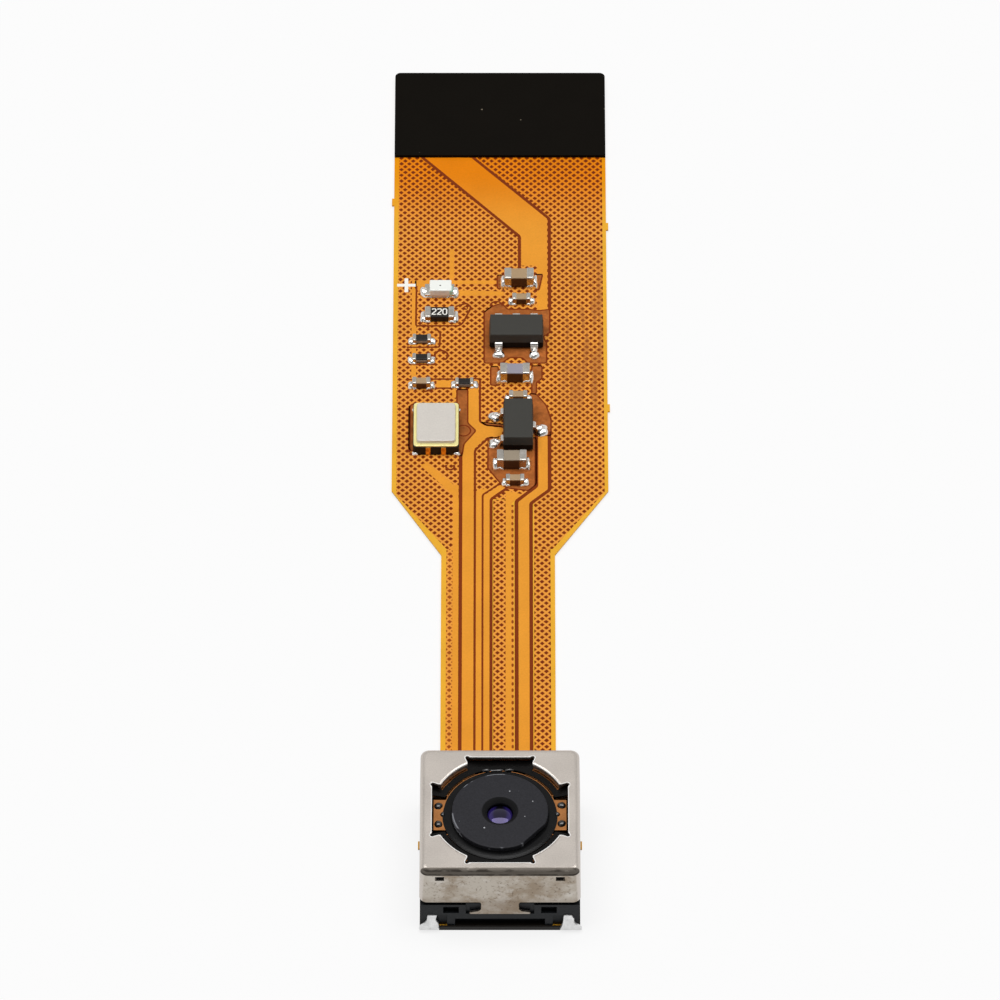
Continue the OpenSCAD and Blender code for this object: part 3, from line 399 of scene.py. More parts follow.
def effect(name, inputs, outputs):
    """An empty group of shader nodes with named inputs and outputs; an input that starts as None is a
    vector."""
    tree = bpy.data.node_groups.new(name, "ShaderNodeTree")
    for label, start in inputs.items():
        kind = "NodeSocketVector" if start is None else "NodeSocketFloat"
        socket = tree.interface.new_socket(label, in_out="INPUT", socket_type=kind)
        if start is not None:
            socket.default_value = start
    for label in outputs:
        tree.interface.new_socket(label, in_out="OUTPUT", socket_type="NodeSocketFloat")
    return tree, tree.nodes.new("NodeGroupInput").outputs, tree.nodes.new("NodeGroupOutput").inputs


def make_hatch():
    """Crossed copper lines: a point is in a gap where both slanted distances, (x + y) and (x - y) over the
    pitch, are far from whole numbers."""
    tree, given, out = effect("crossed copper lines", {"Vector": None, "Shift X": 0.0, "Shift Y": 0.0,
                                                       "Pitch": 0.3, "Gap": 0.5}, ["Gap", "Height"])
    place = node(tree, "SeparateXYZ", [given["Vector"]]).outputs
    wobble = calc(tree, "MULTIPLY", calc(tree, "SUBTRACT", noise(tree, given["Vector"], 1.6), 0.5), 0.05)

    def moved(part, shift):
        """Coordinate in millimetres, shifted and slightly wavy."""
        return calc(tree, "ADD", calc(tree, "SUBTRACT", calc(tree, "DIVIDE", part, MM), given[shift]), wobble)

    x, y = moved(place[0], "Shift X"), moved(place[1], "Shift Y")
    depth = []
    for slant in ("ADD", "SUBTRACT"):
        slanted = calc(tree, "MULTIPLY", calc(tree, slant, x, y), math.sqrt(0.5))
        along = calc(tree, "DIVIDE", slanted, given["Pitch"])
        off = calc(tree, "ABSOLUTE", calc(tree, "SUBTRACT", calc(tree, "FRACT", along), 0.5))
        depth.append(calc(tree, "MULTIPLY", off, 2.0))
    hole = node(tree, "Math", [depth[0], depth[1], 0.25], operation="SMOOTH_MAX").outputs[0]
    uneven = calc(tree, "MULTIPLY", calc(tree, "SUBTRACT", noise(tree, given["Vector"], 3.5), 0.5), 0.25)
    edge = calc(tree, "SUBTRACT", calc(tree, "ADD", given["Gap"], uneven), hole)
    gap = step(tree, edge, -0.12, 0.14)
    tree.links.new(gap, out["Gap"])
    tree.links.new(opposite(tree, gap), out["Height"])
    return tree


def make_grain():
    """Fine random grain with a slow cloud in it: both around zero."""
    inputs = {"Vector": None, "Fine": 14.0, "Broad": 0.8}
    tree, given, out = effect("grain and cloud", inputs, ["Grain", "Cloud"])
    for label, size, detail in (("Grain", "Fine", 3.0), ("Cloud", "Broad", 2.0)):
        scale = calc(tree, "DIVIDE", given[size], MM)
        made = node(tree, "TexNoise", {"Vector": given["Vector"], "Scale": scale, "Detail": detail})
        tree.links.new(calc(tree, "SUBTRACT", made.outputs[0], 0.5), out[label])
    return tree


def make_specks():
    """Sparse pale specks: a cell of a random pattern carries one where its own random number is small
    enough, and the speck is where the distance to the cell's point is short."""
    inputs = {"Vector": None, "Cells": 1.5, "Share": 0.2, "Size": 0.06}
    tree, given, out = effect("dust specks", inputs, ["Speck"])
    scale = calc(tree, "DIVIDE", given["Cells"], MM)
    cells = node(tree, "TexVoronoi", {"Vector": given["Vector"], "Scale": scale})
    number = node(tree, "SeparateColor", [cells.outputs["Color"]]).outputs[0]
    chosen = calc(tree, "LESS_THAN", number, given["Share"])
    reach = calc(tree, "MULTIPLY", given["Size"], given["Cells"])
    near = step(tree, calc(tree, "SUBTRACT", reach, cells.outputs["Distance"]), 0.0, 0.02)
    tree.links.new(calc(tree, "MULTIPLY", chosen, near), out["Speck"])
    return tree


HATCH, GRAIN, SPECKS = make_hatch(), make_grain(), make_specks()


class Finish:
    """A material being made: its node tree, its shader and its Object coordinates."""

    def __init__(self, name, colour, rough=0.5, metal=0.0, **sockets):
        self.material = bpy.data.materials.new(name)
        self.material.use_nodes = True
        self.tree = self.material.node_tree
        self.shader = next(n for n in self.tree.nodes if n.type == "BSDF_PRINCIPLED")
        self.where = node(self.tree, "TexCoord").outputs["Object"]
        self.colour, self.rough = tint(*colour), rough
        self.shader.inputs["Metallic"].default_value = metal
        for label, value in sockets.items():
            self.shader.inputs[label.replace("_", " ")].default_value = value
        self.height = None

    def put(self, group, **inputs):
        """A shared effect, placed with its own values."""
        made = node(self.tree, "Group")
        made.node_tree = group
        self.tree.links.new(self.where, made.inputs["Vector"])
        for label, value in inputs.items():
            made.inputs[label.replace("_", " ")].default_value = value
        return made.outputs

    def paint(self, share, colour):
        """Another colour where share is 1."""
        over = colour if isinstance(colour, bpy.types.NodeSocket) else tint(*colour)
        self.colour = mixed(self.tree, share, self.colour, over)

    def shade(self, amount, by):
        """Lighter and darker by a small amount as a value goes above and below zero: colour * (1 + amount *
        by)."""
        factor = calc(self.tree, "ADD", calc(self.tree, "MULTIPLY", by, amount), 1.0)
        grey = node(self.tree, "CombineColor", [factor, factor, factor]).outputs[0]
        inputs = {0: 1.0, 6: self.colour, 7: grey}
        self.colour = node(self.tree, "Mix", inputs, data_type="RGBA", blend_type="MULTIPLY").outputs[2]

    def roughen(self, amount, by):
        """Duller and glossier as a value goes above and below zero."""
        self.rough = calc(self.tree, "ADD", calc(self.tree, "MULTIPLY", by, amount), self.rough, clamp=True)

    def raise_by(self, amount, by):
        """Relief of this many millimetres."""
        lift = calc(self.tree, "MULTIPLY", by, amount * MM)
        self.height = lift if self.height is None else calc(self.tree, "ADD", self.height, lift)

    def grain(self, fine, broad, tone, cloud, rough, relief):
        """Grain and slow clouds: fine and broad are how many lie in a millimetre, tone and cloud how much
        they lighten and darken, rough how much the clouds dull, and relief how high the grain stands."""
        out = self.put(GRAIN, Fine=fine, Broad=broad)
        self.shade(tone, out["Grain"])
        self.shade(cloud, out["Cloud"])
        self.roughen(rough, out["Cloud"])
        if relief:
            self.raise_by(relief, out["Grain"])
        return self

    def specks(self, colour, cells, share, size):
        """Dust: cells in a millimetre, the share of them that carry a speck, and its size."""
        self.paint(self.put(SPECKS, Cells=cells, Share=share, Size=size)["Speck"], colour)
        return self

    def done(self):
        """Colour, roughness and relief joined to the shader; what is the same everywhere is set on its
        socket."""
        for label, value in (("Base Color", self.colour), ("Roughness", self.rough)):
            if isinstance(value, bpy.types.NodeSocket):
                self.tree.links.new(value, self.shader.inputs[label])
            else:
                self.shader.inputs[label].default_value = value
        if self.height is not None:
            bump = node(self.tree, "Bump", {"Height": self.height, "Distance": 1.0})
            self.tree.links.new(bump.outputs[0], self.shader.inputs["Normal"])
        return self.material


def plain(name, colour, rough, metal, grain, **sockets):
    """Finish of one colour with its grain."""
    return Finish(name, colour, rough, metal, **sockets).grain(*grain).done()


# ---------------------------------------------------------------- finishes of the film

def along_y(finish, start, end):
    """0 before start and 1 past end, in millimetres along the film."""
    return step(finish.tree, coordinate(finish.tree, finish.where, Y), start, end)


def film_finish(name, colour, rough=0.32, deepen=True, **grain):
    """Copper or bare film under its clear cover: a soft sheen, slow clouds, and a darkened, redder colour at
    both ends that is painted reflection of the glossy film."""
    made = Finish(name, colour, rough, Specular_IOR_Level=0.10)
    # painted reflection: both ends of the film take a darkened, redder colour
    if deepen:
        end_reflection = tuple(int(c * k) for c, k in zip(colour, (0.98, 0.84, 0.20)))
        made.paint(along_y(made, 44.0, 49.0), end_reflection)
        near = opposite(made.tree, along_y(made, 6.0, 15.0))
        made.paint(times(made.tree, near, 0.12), end_reflection)
    usual = {"fine": 9.0, "broad": 0.5, "tone": 0.20, "cloud": 0.20, "rough": 0.2, "relief": 0.0006}
    return made.grain(**{**usual, **grain})


HATCH_PITCH = 0.302              # between two neighbouring crossed lines


def hatch_finish(name, shift_x, gap=(122, 46, 8)):
    """Crossed copper lines with dark gaps; on the right of the head brownish upright streaks mute them."""
    made = film_finish(name, (240, 158, 62))
    tree = made.tree
    lines = made.put(HATCH, Shift_X=shift_x, Pitch=HATCH_PITCH, Gap=0.63)
    made.paint(lines["Gap"], gap)
    right = step(tree, coordinate(tree, made.where, X), 3.0, 3.8)
    span = times(tree, along_y(made, 29.0, 33.0), opposite(tree, along_y(made, 40.0, 44.0)))
    streaks = step(tree, noise(tree, made.where, 3.2, 3.0, (1.0, 0.10, 1.0)), 0.46, 0.60)
    made.paint(times(tree, times(tree, right, span), times(tree, streaks, 0.5)), (168, 98, 48))
    made.raise_by(0.004, lines["Height"])
    return made.done()


def film_edge_finish():
    """Bare amber film: bright where no copper lies under it, with a crossed pattern on its underside
    only."""
    made = film_finish("amber film", (240, 178, 54))
    lines = made.put(HATCH, Pitch=HATCH_PITCH, Gap=0.60)
    z = node(made.tree, "SeparateXYZ", [made.where]).outputs[Z]
    under = calc(made.tree, "LESS_THAN", z, (FILM_LOW + 0.02) * MM)
    made.paint(times(made.tree, lines["Gap"], under), (120, 48, 14))
    return made.done()


polyimide = film_edge_finish()
copper = film_finish("copper under film", (237, 157, 52)).done()
trench = film_finish("etched line", (128, 52, 12), rough=0.6, deepen=False, tone=0.25).done()
bare = film_finish("etched field", (166, 94, 42), rough=0.6, deepen=False,
                   fine=5.0, broad=1.6, tone=0.8, cloud=1.1).done()
hatch_head = hatch_finish("crossed lines head", -5.37)
hatch_left = hatch_finish("crossed lines left of neck", -2.65, (158, 78, 22))
hatch_middle = hatch_finish("crossed lines middle of neck", -0.13)
hatch_right = hatch_finish("crossed lines right of neck", 2.0)
hatch_row = hatch_finish("row of small gaps", 0.66, (150, 72, 20))
stiff_black = (Finish("black stiffener", (15, 12, 8), 0.5, Specular_IOR_Level=0.03)
               .grain(16, 0.6, 0.25, 0.25, 0.15, 0.002).specks((128, 118, 102), 0.9, 0.34, 0.055).done())
gold = plain("gold plate", (226, 178, 92), 0.28, 1.0, (10, 0.7, 0.1, 0.1, 0.1, 0.001))
backing = plain("steel backing", (168, 166, 160), 0.42, 1.0, (12, 0.5, 0.12, 0.1, 0.15, 0.002))
white_print = plain("white print", (250, 248, 240), 0.6, 0.0, (12, 1, 0.08, 0.05, 0.1, 0.002))


# ---------------------------------------------------------------- finishes of the chips

solder = plain("solder", (232, 230, 226), 0.22, 1.0, (7, 1.2, 0.12, 0.12, 0.2, 0.012))
tin = plain("tinned chip end", (196, 191, 183), 0.24, 1.0, (6, 1.6, 0.3, 0.35, 0.3, 0.016))
lead_metal = plain("tinned lead", (212, 208, 202), 0.26, 1.0, (9, 1.0, 0.12, 0.1, 0.2, 0.003))
led_white = plain("led body", (246, 246, 240), 0.5, 0.0, (10, 1, 0.05, 0.05, 0.1, 0.002))
led_resin = plain("led resin", (250, 252, 246), 0.25, 0.0, (6, 1, 0.04, 0.05, 0.1, 0.001), Coat_Weight=0.5)
led_teal = plain("led resin, teal tint", (176, 232, 216), 0.3, 0.0, (6, 1, 0.1, 0.2, 0.1, 0.001),
                 Coat_Weight=0.4)
resistor_black = plain("resistor glaze", (36, 33, 30), 0.38, 0.0, (12, 1, 0.2, 0.15, 0.15, 0.002),
                       Specular_IOR_Level=0.2)
ceramic_white = plain("resistor ceramic", (150, 142, 132), 0.5, 0.0, (12, 1, 0.2, 0.15, 0.15, 0.002))
cap_tan = plain("capacitor tan", (172, 144, 108), 0.42, 0.0, (14, 0.9, 0.18, 0.1, 0.15, 0.003))
# painted shade: the capacitors' front faces, their body colour darkened
shaded_cap_front = plain("capacitor front, painted shade", (80, 48, 26), 0.48, 0.0, (14, 0.9, 0.25, 0.1, 0.15, 0.003),
                  Specular_IOR_Level=0.2)
cap_brown_grey = plain("capacitor brown grey", (150, 136, 116), 0.42, 0.0, (14, 0.9, 0.22, 0.2, 0.15, 0.003))
cap_grey = plain("capacitor grey", (150, 146, 158), 0.42, 0.0, (14, 0.9, 0.18, 0.1, 0.15, 0.003))
moulded = plain("moulded body", (64, 63, 59), 0.62, 0.0, (22, 0.8, 0.35, 0.12, 0.1, 0.006),
                Specular_IOR_Level=0.15)
# painted shade: the regulators' moulding below the seam, darkened
shaded_moulding = plain("moulded body below its seam, painted shade", (16, 16, 15), 0.6, 0.0, (22, 0.8, 0.25, 0.08, 0.1, 0.004),
                     Specular_IOR_Level=0.12)
ceramic_dark = plain("oscillator ceramic", (26, 22, 19), 0.5, 0.0, (14, 1, 0.2, 0.1, 0.1, 0.003),
                     Specular_IOR_Level=0.2)
lid_metal = plain("oscillator lid", (214, 208, 200), 0.42, 0.25, (15, 1, 0.22, 0.05, 0.1, 0.004))
gold_frame = plain("oscillator gold", (255, 244, 170), 0.25, 0.35, (10, 1, 0.06, 0.08, 0.1, 0.001))


# ---------------------------------------------------------------- finishes of the camera

board_green = plain("sensor board", (38, 62, 44), 0.45, 0.0, (12, 1, 0.15, 0.1, 0.1, 0.002))
silicon = plain("sensor", (60, 58, 76), 0.2, 0.4, (6, 1, 0.1, 0.2, 0.1, 0.0))
base_black = plain("moulded base", (30, 32, 35), 0.36, 0.0, (18, 0.8, 0.3, 0.15, 0.2, 0.006),
                   Specular_IOR_Level=0.16)
magnet_metal = plain("magnet plating", (150, 150, 152), 0.35, 0.9, (10, 1, 0.1, 0.1, 0.1, 0.001))
wire = plain("coil wire", (176, 98, 52), 0.35, 0.8, (10, 1, 0.1, 0.1, 0.1, 0.002))
carrier_black = plain("carrier", (15, 15, 16), 0.4, 0.0, (16, 0.9, 0.2, 0.1, 0.12, 0.002),
                      Specular_IOR_Level=0.15)
stop_black = plain("lens stop", (12, 12, 13), 0.7, 0.0, (16, 1, 0.2, 0.1, 0.1, 0.001), Specular_IOR_Level=0.1)
spring_bronze = plain("spring bronze", (188, 126, 74), 0.28, 0.9, (7, 1.6, 0.25, 0.35, 0.25, 0.004))
gel = plain("glossy glue", (8, 7, 8), 0.06, 0.0, (3, 1, 0.1, 0.1, 0.05, 0.01),
            Coat_Weight=0.6, Coat_Roughness=0.02)
frame_black = plain("black spring frame", (10, 9, 9), 0.24, 0.0, (9, 0.9, 0.2, 0.1, 0.25, 0.008),
                    Specular_IOR_Level=0.14)
# dark glue at the camera's foot, also painted shade where the base meets the film
dark_glue_and_shade = plain("dark glue and painted shade", (22, 18, 14), 0.35, 0.0, (6, 1.2, 0.3, 0.3, 0.3, 0.01), Specular_IOR_Level=0.2)
carrier_gloss = plain("carrier rim", (11, 11, 12), 0.26, 0.0, (12, 0.9, 0.2, 0.1, 0.3, 0.006),
                      Specular_IOR_Level=0.16)
solder_dull = plain("solder on terminals", (222, 222, 222), 0.38, 0.85, (3.2, 1.6, 0.45, 0.35, 0.3, 0.07))
# painted highlight: the bright line along the rim of the can's opening
rim_highlight_paint = plain("painted rim highlight", (255, 253, 250), 0.3, 0.4, (10, 1, 0.1, 0.1, 0.1, 0.001))
lens_glass = Finish("lens resin", (255, 255, 255), 0.02, Transmission_Weight=1.0, IOR=1.53).done()
filter_glass = Finish("filter glass", (150, 190, 200), 0.03, Transmission_Weight=1.0, IOR=1.52).done()


def barrel_finish():
    """Matt black moulding with grain and dust, painted shade in the cone of the aperture, and pale patches
    of painted highlight on its turned rim."""
    made = Finish("barrel", (40, 40, 44), 0.55, Specular_IOR_Level=0.14).grain(12, 0.7, 0.9, 0.2, 0.12, 0.006)
    made.specks((190, 192, 196), 2.4, 0.30, 0.045)
    tree = made.tree
    across = from_axis(tree, made.where)
    # painted highlight: pale patches along the edge of the turned rim
    rim_highlight_spots = step(tree, noise(tree, made.where, 0.7, 3.0), 0.50, 0.56)
    rim = times(tree, step(tree, across, 2.38, 2.42), rim_highlight_spots)
    made.paint(times(tree, rim, 0.7), (150, 152, 158))
    # painted shade: darker in the cone of the aperture
    made.paint(opposite(tree, step(tree, across, 0.90, 0.96)), (9, 9, 10))
    return made.done()


def lens_finish():
    """Coated lens: near black in the middle, and a violet blue ring towards its edge, on the left and
    right, that is the coating's reflection painted into its colour."""
    made = Finish("coated lens", (6, 5, 10), 0.03, Coat_Weight=0.45, Coat_Roughness=0.02, IOR=1.8,
                  Specular_Tint=(0.24, 0.18, 0.55, 1.0))
    tree = made.tree
    across = from_axis(tree, made.where)
    band = times(tree, step(tree, across, 0.25, 0.5), opposite(tree, step(tree, across, 0.56, 0.68)))
    off_middle = calc(tree, "ABSOLUTE", node(tree, "SeparateXYZ", [made.where]).outputs[X])
    sides = step(tree, calc(tree, "DIVIDE", off_middle, MM), 0.1, 0.4)
    # painted reflection: the coating's violet blue sheen on the left and right
    made.paint(times(tree, band, sides), (38, 27, 88))
    return made.done()


CAN_EDGE = 0.27                  # radius of the can's bend between its walls and its top
# painted shade along the front bend, a grey band over its highlight and two broken dark streaks: where
# they start and end in its height, the noise that shows them, how strongly they show, and their colour
EDGE_SHADE_PAINT = [
    (-0.45, 1.05, 0.05, 0.36, 0.94, (98, 92, 85)),
    (-0.40, 0.10, 0.36, 0.56, 0.85, (50, 45, 40)),
    (0.50, 0.93, 0.44, 0.60, 0.8, (52, 47, 42)),
]


def can_wall(tree, where):
    """Colour of the can's front wall: brown heat clouds, paler rubs, dark flecks, and a darker colour
    towards the foot."""
    cloud = step(tree, noise(tree, where, 0.62, 6.0, (0.8, 1.0, 1.0)), 0.40, 0.62)
    rubs = step(tree, noise(tree, where, 1.3, 5.0, (0.7, 1.0, 1.0)), 0.50, 0.66)
    flecks = step(tree, noise(tree, where, 7.0, 4.0), 0.55, 0.68)
    foot = opposite(tree, step(tree, coordinate(tree, where, Z), CAN_BOTTOM, CAN_BOTTOM + 0.45))
    wall = mixed(tree, times(tree, cloud, 0.8), tint(182, 174, 163), tint(138, 121, 101))
    for share, amount, colour in ((rubs, 0.5, (206, 201, 194)), (flecks, 0.55, (96, 80, 64)),
                                  (foot, 0.3, (110, 92, 74))):
        wall = mixed(tree, times(tree, share, amount), wall, tint(*colour))
    return wall


def can_finish():
    """Satin plated steel with fine grain. The front wall has its own colours, and the bend above it is
    duller, with a grey band and two broken dark streaks painted on it as shade that mute its highlight."""
    made = Finish("can metal", (199, 191, 183), 0.36, 1.0).grain(14, 0.6, 0.34, 0.05, 0.12, 0.005)
    tree = made.tree
    forward = times(tree, coordinate(tree, made.where, Y), -1.0)
    made.paint(step(tree, forward, 3.99, 4.06), can_wall(tree, made.where))
    over_bend = calc(tree, "SUBTRACT", coordinate(tree, made.where, Z), CAD_BOX[1][2] / MM - CAN_EDGE)
    rise = calc(tree, "DIVIDE", over_bend, CAN_EDGE)
    edge = step(tree, forward, 3.78, 3.84)
    streaks = noise(tree, made.where, 3.2, 4.0, (0.35, 1.0, 1.0))
    made.roughen(0.3, times(tree, edge, step(tree, rise, -0.45, -0.30)))
    # painted shade on the front bend: a grey band and two broken dark streaks
    for start, end, low_noise, high_noise, strength, colour in EDGE_SHADE_PAINT:
        past_end = step(tree, rise, end - 0.1, end + 0.08)
        band = times(tree, step(tree, rise, start, start + 0.14), opposite(tree, past_end))
        share = times(tree, times(tree, band, edge), step(tree, streaks, low_noise, high_noise))
        made.paint(times(tree, share, strength), colour)
    return made.done()


barrel_black = barrel_finish()
lens_coat = lens_finish()
can_metal = can_finish()


# ---------------------------------------------------------------- the film and what is printed on it

LAYER = dict(hatch=FILM_TOP + 0.005, copper=FILM_TOP + 0.009, bare=FILM_TOP + 0.012, line=FILM_TOP + 0.015,
             pad=FILM_TOP + 0.018)
UNDER = FILM_TOP - 0.004         # the layers start a little inside the film
SLANT = 0.003                    # cut along a layer's top edge
REG_LOW, REG_HIGH = node_box("regulator_1")
ART_Y = (REG_LOW[1] + REG_HIGH[1]) / 2 - 36.2     # the artwork below is laid out round the first regulator
PAD_END = 4.15                   # where the artwork meets the camera's pad


def art(points):
    """Points of the artwork, moved to where the film's chips are."""
    return np.asarray(points, float) + [0, ART_Y]


def areas(outlines, layer, bend=0.08, steps=3):
    """Flat areas of one layer, with their corners rounded."""
    return [plate(rounded(art(o), bend, steps, True), UNDER, LAYER[layer], SLANT) for o in outlines]


def lines(paths, layer, bend=0.12):
    """Lines of one layer, each given as its width and the points it runs through."""
    return [strip(rounded(art(path), bend, 3), width, UNDER, LAYER[layer], SLANT) for width, path in paths]


NECK_LOW = PAD_END - ART_Y
HATCH_FIELDS = [
    (hatch_head, [(-5.5, 49.75), (5.55, 49.75), (5.55, 25.2), (2.78, 21.2), (1.8, 21.2), (1.8, 24.6),
                  (-2.45, 24.8), (-2.45, 21.2), (-2.83, 21.2), (-5.5, 25.0)]),
    (hatch_left, [(-2.83, 21.2), (-2.5, 21.2), (-2.5, NECK_LOW), (-2.83, NECK_LOW)]),
    (hatch_middle, [(-0.35, 24.65), (0.35, 24.65), (0.35, NECK_LOW), (-0.35, NECK_LOW)]),
    (hatch_right, [(1.8, 21.2), (2.66, 21.2), (2.66, NECK_LOW), (1.78, NECK_LOW)]),
    (hatch_row, [(0.60, 24.3), (0.72, 24.3), (0.72, NECK_LOW), (0.60, NECK_LOW)]),
]
COPPER_AREAS = [
    # wide supply track from the tail
    [(-4.4, 49.75), (-1.75, 49.75), (2.55, 45.0), (2.55, 38.3), (2.0, 38.25), (2.0, 41.5), (1.15, 41.5),
     (1.15, 43.6)],
    # strip left of the neck's first track, and the edges of the head
    [(-4.25, 27.1), (-3.85, 27.3), (-2.45, 25.7), (-2.2, 25.7), (-2.2, NECK_LOW), (-2.5, NECK_LOW),
     (-2.5, 25.0)],
    # first long track, with its branch to the regulator
    [(-2.0, NECK_LOW), (-1.4, NECK_LOW), (-1.4, 28.2), (-0.72, 29.1), (0.1, 29.2), (0.1, 29.75), (-0.8, 29.9),
     (-1.12, 30.2), (-1.15, 32.5), (-1.3, 32.8), (-1.6, 32.8), (-1.7, 32.4), (-1.7, 30.15), (-1.25, 29.55),
     (-1.9, 28.6), (-2.0, 28.2)],
    # two thin tracks
    [(-1.28, NECK_LOW), (-0.97, NECK_LOW), (-0.97, 25.0), (-0.6, 25.4), (-1.2, 25.4), (-1.28, 25.2)],
    [(-0.87, NECK_LOW), (-0.55, NECK_LOW), (-0.55, 24.7), (0.35, 25.5), (0.0, 25.7), (-0.87, 24.95)],
    # copper beside the middle lines
    [(0.28, NECK_LOW), (0.60, NECK_LOW), (0.60, 24.35), (0.76, 24.6), (1.3, 25.0), (0.3, 25.3)],
    # second long track
    [(0.98, NECK_LOW), (1.55, NECK_LOW), (1.55, 24.4), (2.55, 25.4), (2.55, 29.6), (2.0, 29.6), (2.0, 25.6),
     (0.98, 24.5)],
    # solid strips of the left column
    [(-4.75, 40.4), (-4.5, 40.4), (-4.5, 33.0), (-4.75, 33.0)],
    [(-2.72, 42.7), (-2.48, 42.7), (-2.48, 40.4), (-2.72, 40.4)],
    [(-4.6, 40.4), (-0.2, 40.4), (-0.2, 40.15), (-2.4, 40.15), (-2.4, 39.7), (0.2, 39.6), (0.2, 39.3),
     (-2.2, 39.3), (-4.6, 39.8)],
    [(-3.4, 33.15), (-2.6, 33.15), (-2.6, 32.65), (-3.4, 32.65)],
    [(-2.55, 32.5), (-2.35, 32.5), (-2.35, 31.9), (-2.55, 31.9)],
]
BARE_AREAS = [
    # round the first regulator
    [(-0.45, 38.5), (-0.85, 38.1), (-0.85, 34.4), (0.1, 34.4), (0.5, 34.8), (1.2, 34.8), (1.5, 34.4),
     (2.5, 34.4), (2.5, 35.9), (2.3, 36.3), (2.68, 36.6), (2.68, 38.3), (2.1, 38.2), (1.6, 38.3), (0.4, 38.3),
     (0.1, 38.75)],
    # between the first track and the oscillator
    [(-2.3, 32.5), (-1.72, 32.5), (-1.72, 30.1), (-1.28, 29.55), (-1.92, 28.6), (-2.02, 27.75), (-2.3, 27.75),
     (-2.45, 28.1), (-4.72, 28.1), (-4.85, 28.3), (-4.85, 31.3), (-4.6, 31.5), (-2.3, 31.5)],
    # round the two lowest capacitors
    [(-0.62, 29.05), (1.92, 29.05), (1.92, 25.75), (1.5, 25.3), (0.3, 25.5), (-0.1, 26.0), (-0.65, 26.9)],
    # right of the second regulator
    [(-1.0, 30.15), (0.2, 30.0), (0.2, 29.8), (-0.75, 29.95)],
    [(1.6, 32.2), (1.95, 32.15), (2.45, 31.4), (2.72, 30.4), (2.72, 29.2), (1.9, 29.2), (1.6, 30)],
    # round the middle capacitors
    [(-0.5, 34.15), (-0.1, 34.15), (0.0, 32.8), (-0.5, 32.8)],
    [(1.7, 34.2), (2.25, 34.2), (2.25, 33.3), (1.95, 33.0), (1.95, 32.2), (1.7, 32.2)],
    [(-0.15, 40.8), (0.2, 40.8), (0.2, 39.8), (-0.15, 39.8)],
    [(1.9, 40.85), (2.3, 40.85), (2.1, 39.7), (1.9, 39.7)],
]
ETCHED_LINES = [
    (0.17, [(-4.45, 49.75), (1.05, 43.65), (1.05, 41.3)]),
    (0.17, [(-1.7, 49.75), (2.67, 44.95), (2.67, 38.3)]),
    (0.19, [(-2.09, NECK_LOW), (-2.09, 28.0)]),
    (0.12, [(-1.33, NECK_LOW), (-1.33, 28.15), (-0.65, 29.0)]),
    (0.10, [(-0.92, NECK_LOW), (-0.92, 25.0), (0.0, 25.8)]),
    (0.16, [(-0.47, NECK_LOW), (-0.47, 24.7), (0.35, 25.45)]),
    (0.2, [(0.87, NECK_LOW), (0.87, 24.55), (1.93, 25.6), (1.93, 29.3)]),
    (0.19, [(1.64, NECK_LOW), (1.64, 24.4), (2.63, 25.35), (2.63, 29.5)]),
    (0.12, [(-1.07, 33.25), (-1.07, 30.2), (-0.75, 29.95), (0.1, 29.85)]),
    (0.1, [(-4.5, 40.0), (-4.52, 37.1), (-2.2, 37.1), (-2.0, 37.3), (-1.55, 38.45), (-1.8, 38.75),
           (-2.4, 38.5)]),
    (0.1, [(-5.0, 35.55), (-3.25, 35.55), (-3.2, 36.6), (-3.45, 36.9)]),
    (0.1, [(-4.9, 34.3), (-3.4, 34.3)]),
    (0.1, [(-5.05, 33.2), (-3.4, 33.25), (-2.5, 33.25)]),
    (0.1, [(-4.0, 32.35), (-3.3, 32.6), (-2.5, 32.6)]),
    (0.1, [(-1.5, 33.3), (-1.02, 33.25)]),
    (0.14, [(-4.82, 31.3), (-4.82, 28.0)]),
]
# centre, radius, width, and the degrees where each starts and ends
ROUND_LINES = [
    ((-3.15, 34.95), 0.35, 0.11, -60, 200),
    ((-2.65, 27.0), 0.22, 0.10, 150, 390),
    ((-1.95, 29.55), 0.38, 0.08, 0, 360),
    ((-0.2, 38.55), 0.32, 0.09, 0, 180),
    ((-1.85, 38.4), 0.1, 0.06, 0, 360),
    ((-4.1, 36.85), 0.3, 0.1, 20, 120),
]
FIELD_EDGES = [(0.08, outline + outline[:2]) for outline in BARE_AREAS]


def film_copper():
    """The crossed lines, with the solid copper a little above them."""
    parts = [(areas([outline], "hatch", 0.05, 2)[0], material) for material, outline in HATCH_FIELDS]
    parts += [(shape, copper) for shape in areas(COPPER_AREAS, "copper")]
    piece("film_copper", parts, stands_for=("ground_mesh", "supply_track", "signal_tracks"))


def etched_gaps():
    """Where no copper was left: open fields, and the lines between one track and the next."""
    parts = [(shape, bare) for shape in areas(BARE_AREAS, "bare")]
    parts += [(shape, trench) for shape in lines(ETCHED_LINES + FIELD_EDGES, "line")]
    for centre, radius, width, start, end in ROUND_LINES:
        shape = ring(art([centre])[0], radius, width, FILM_TOP, LAYER["line"] + 0.001, start, end)
        parts.append((shape, trench))
    piece("etched_gaps", parts)


film_copper()
etched_gaps()
for name, material in (("flex_film", polyimide), ("tail_stiffener", stiff_black), ("back_plate", backing),
                       ("tail_contacts", gold), ("cross_mark", white_print)):
    finish_node(name, material)


# ---------------------------------------------------------------- chips

CHIP_FOOT = LAYER["copper"]


def end_spans(low, high, long):
    """The two ends of a chip: the side each is on, its outer x, and the x where it starts and stops."""
    return [(-1, low[0], low[0], low[0] + long), (1, high[0], high[0] - long, high[0])]


def end_cover(low, high, start, stop, *edges):
    """Metal wrapped round one end of a chip."""
    return soft_block((start, low[1], low[2]), (stop, high[1], high[2]), *edges)


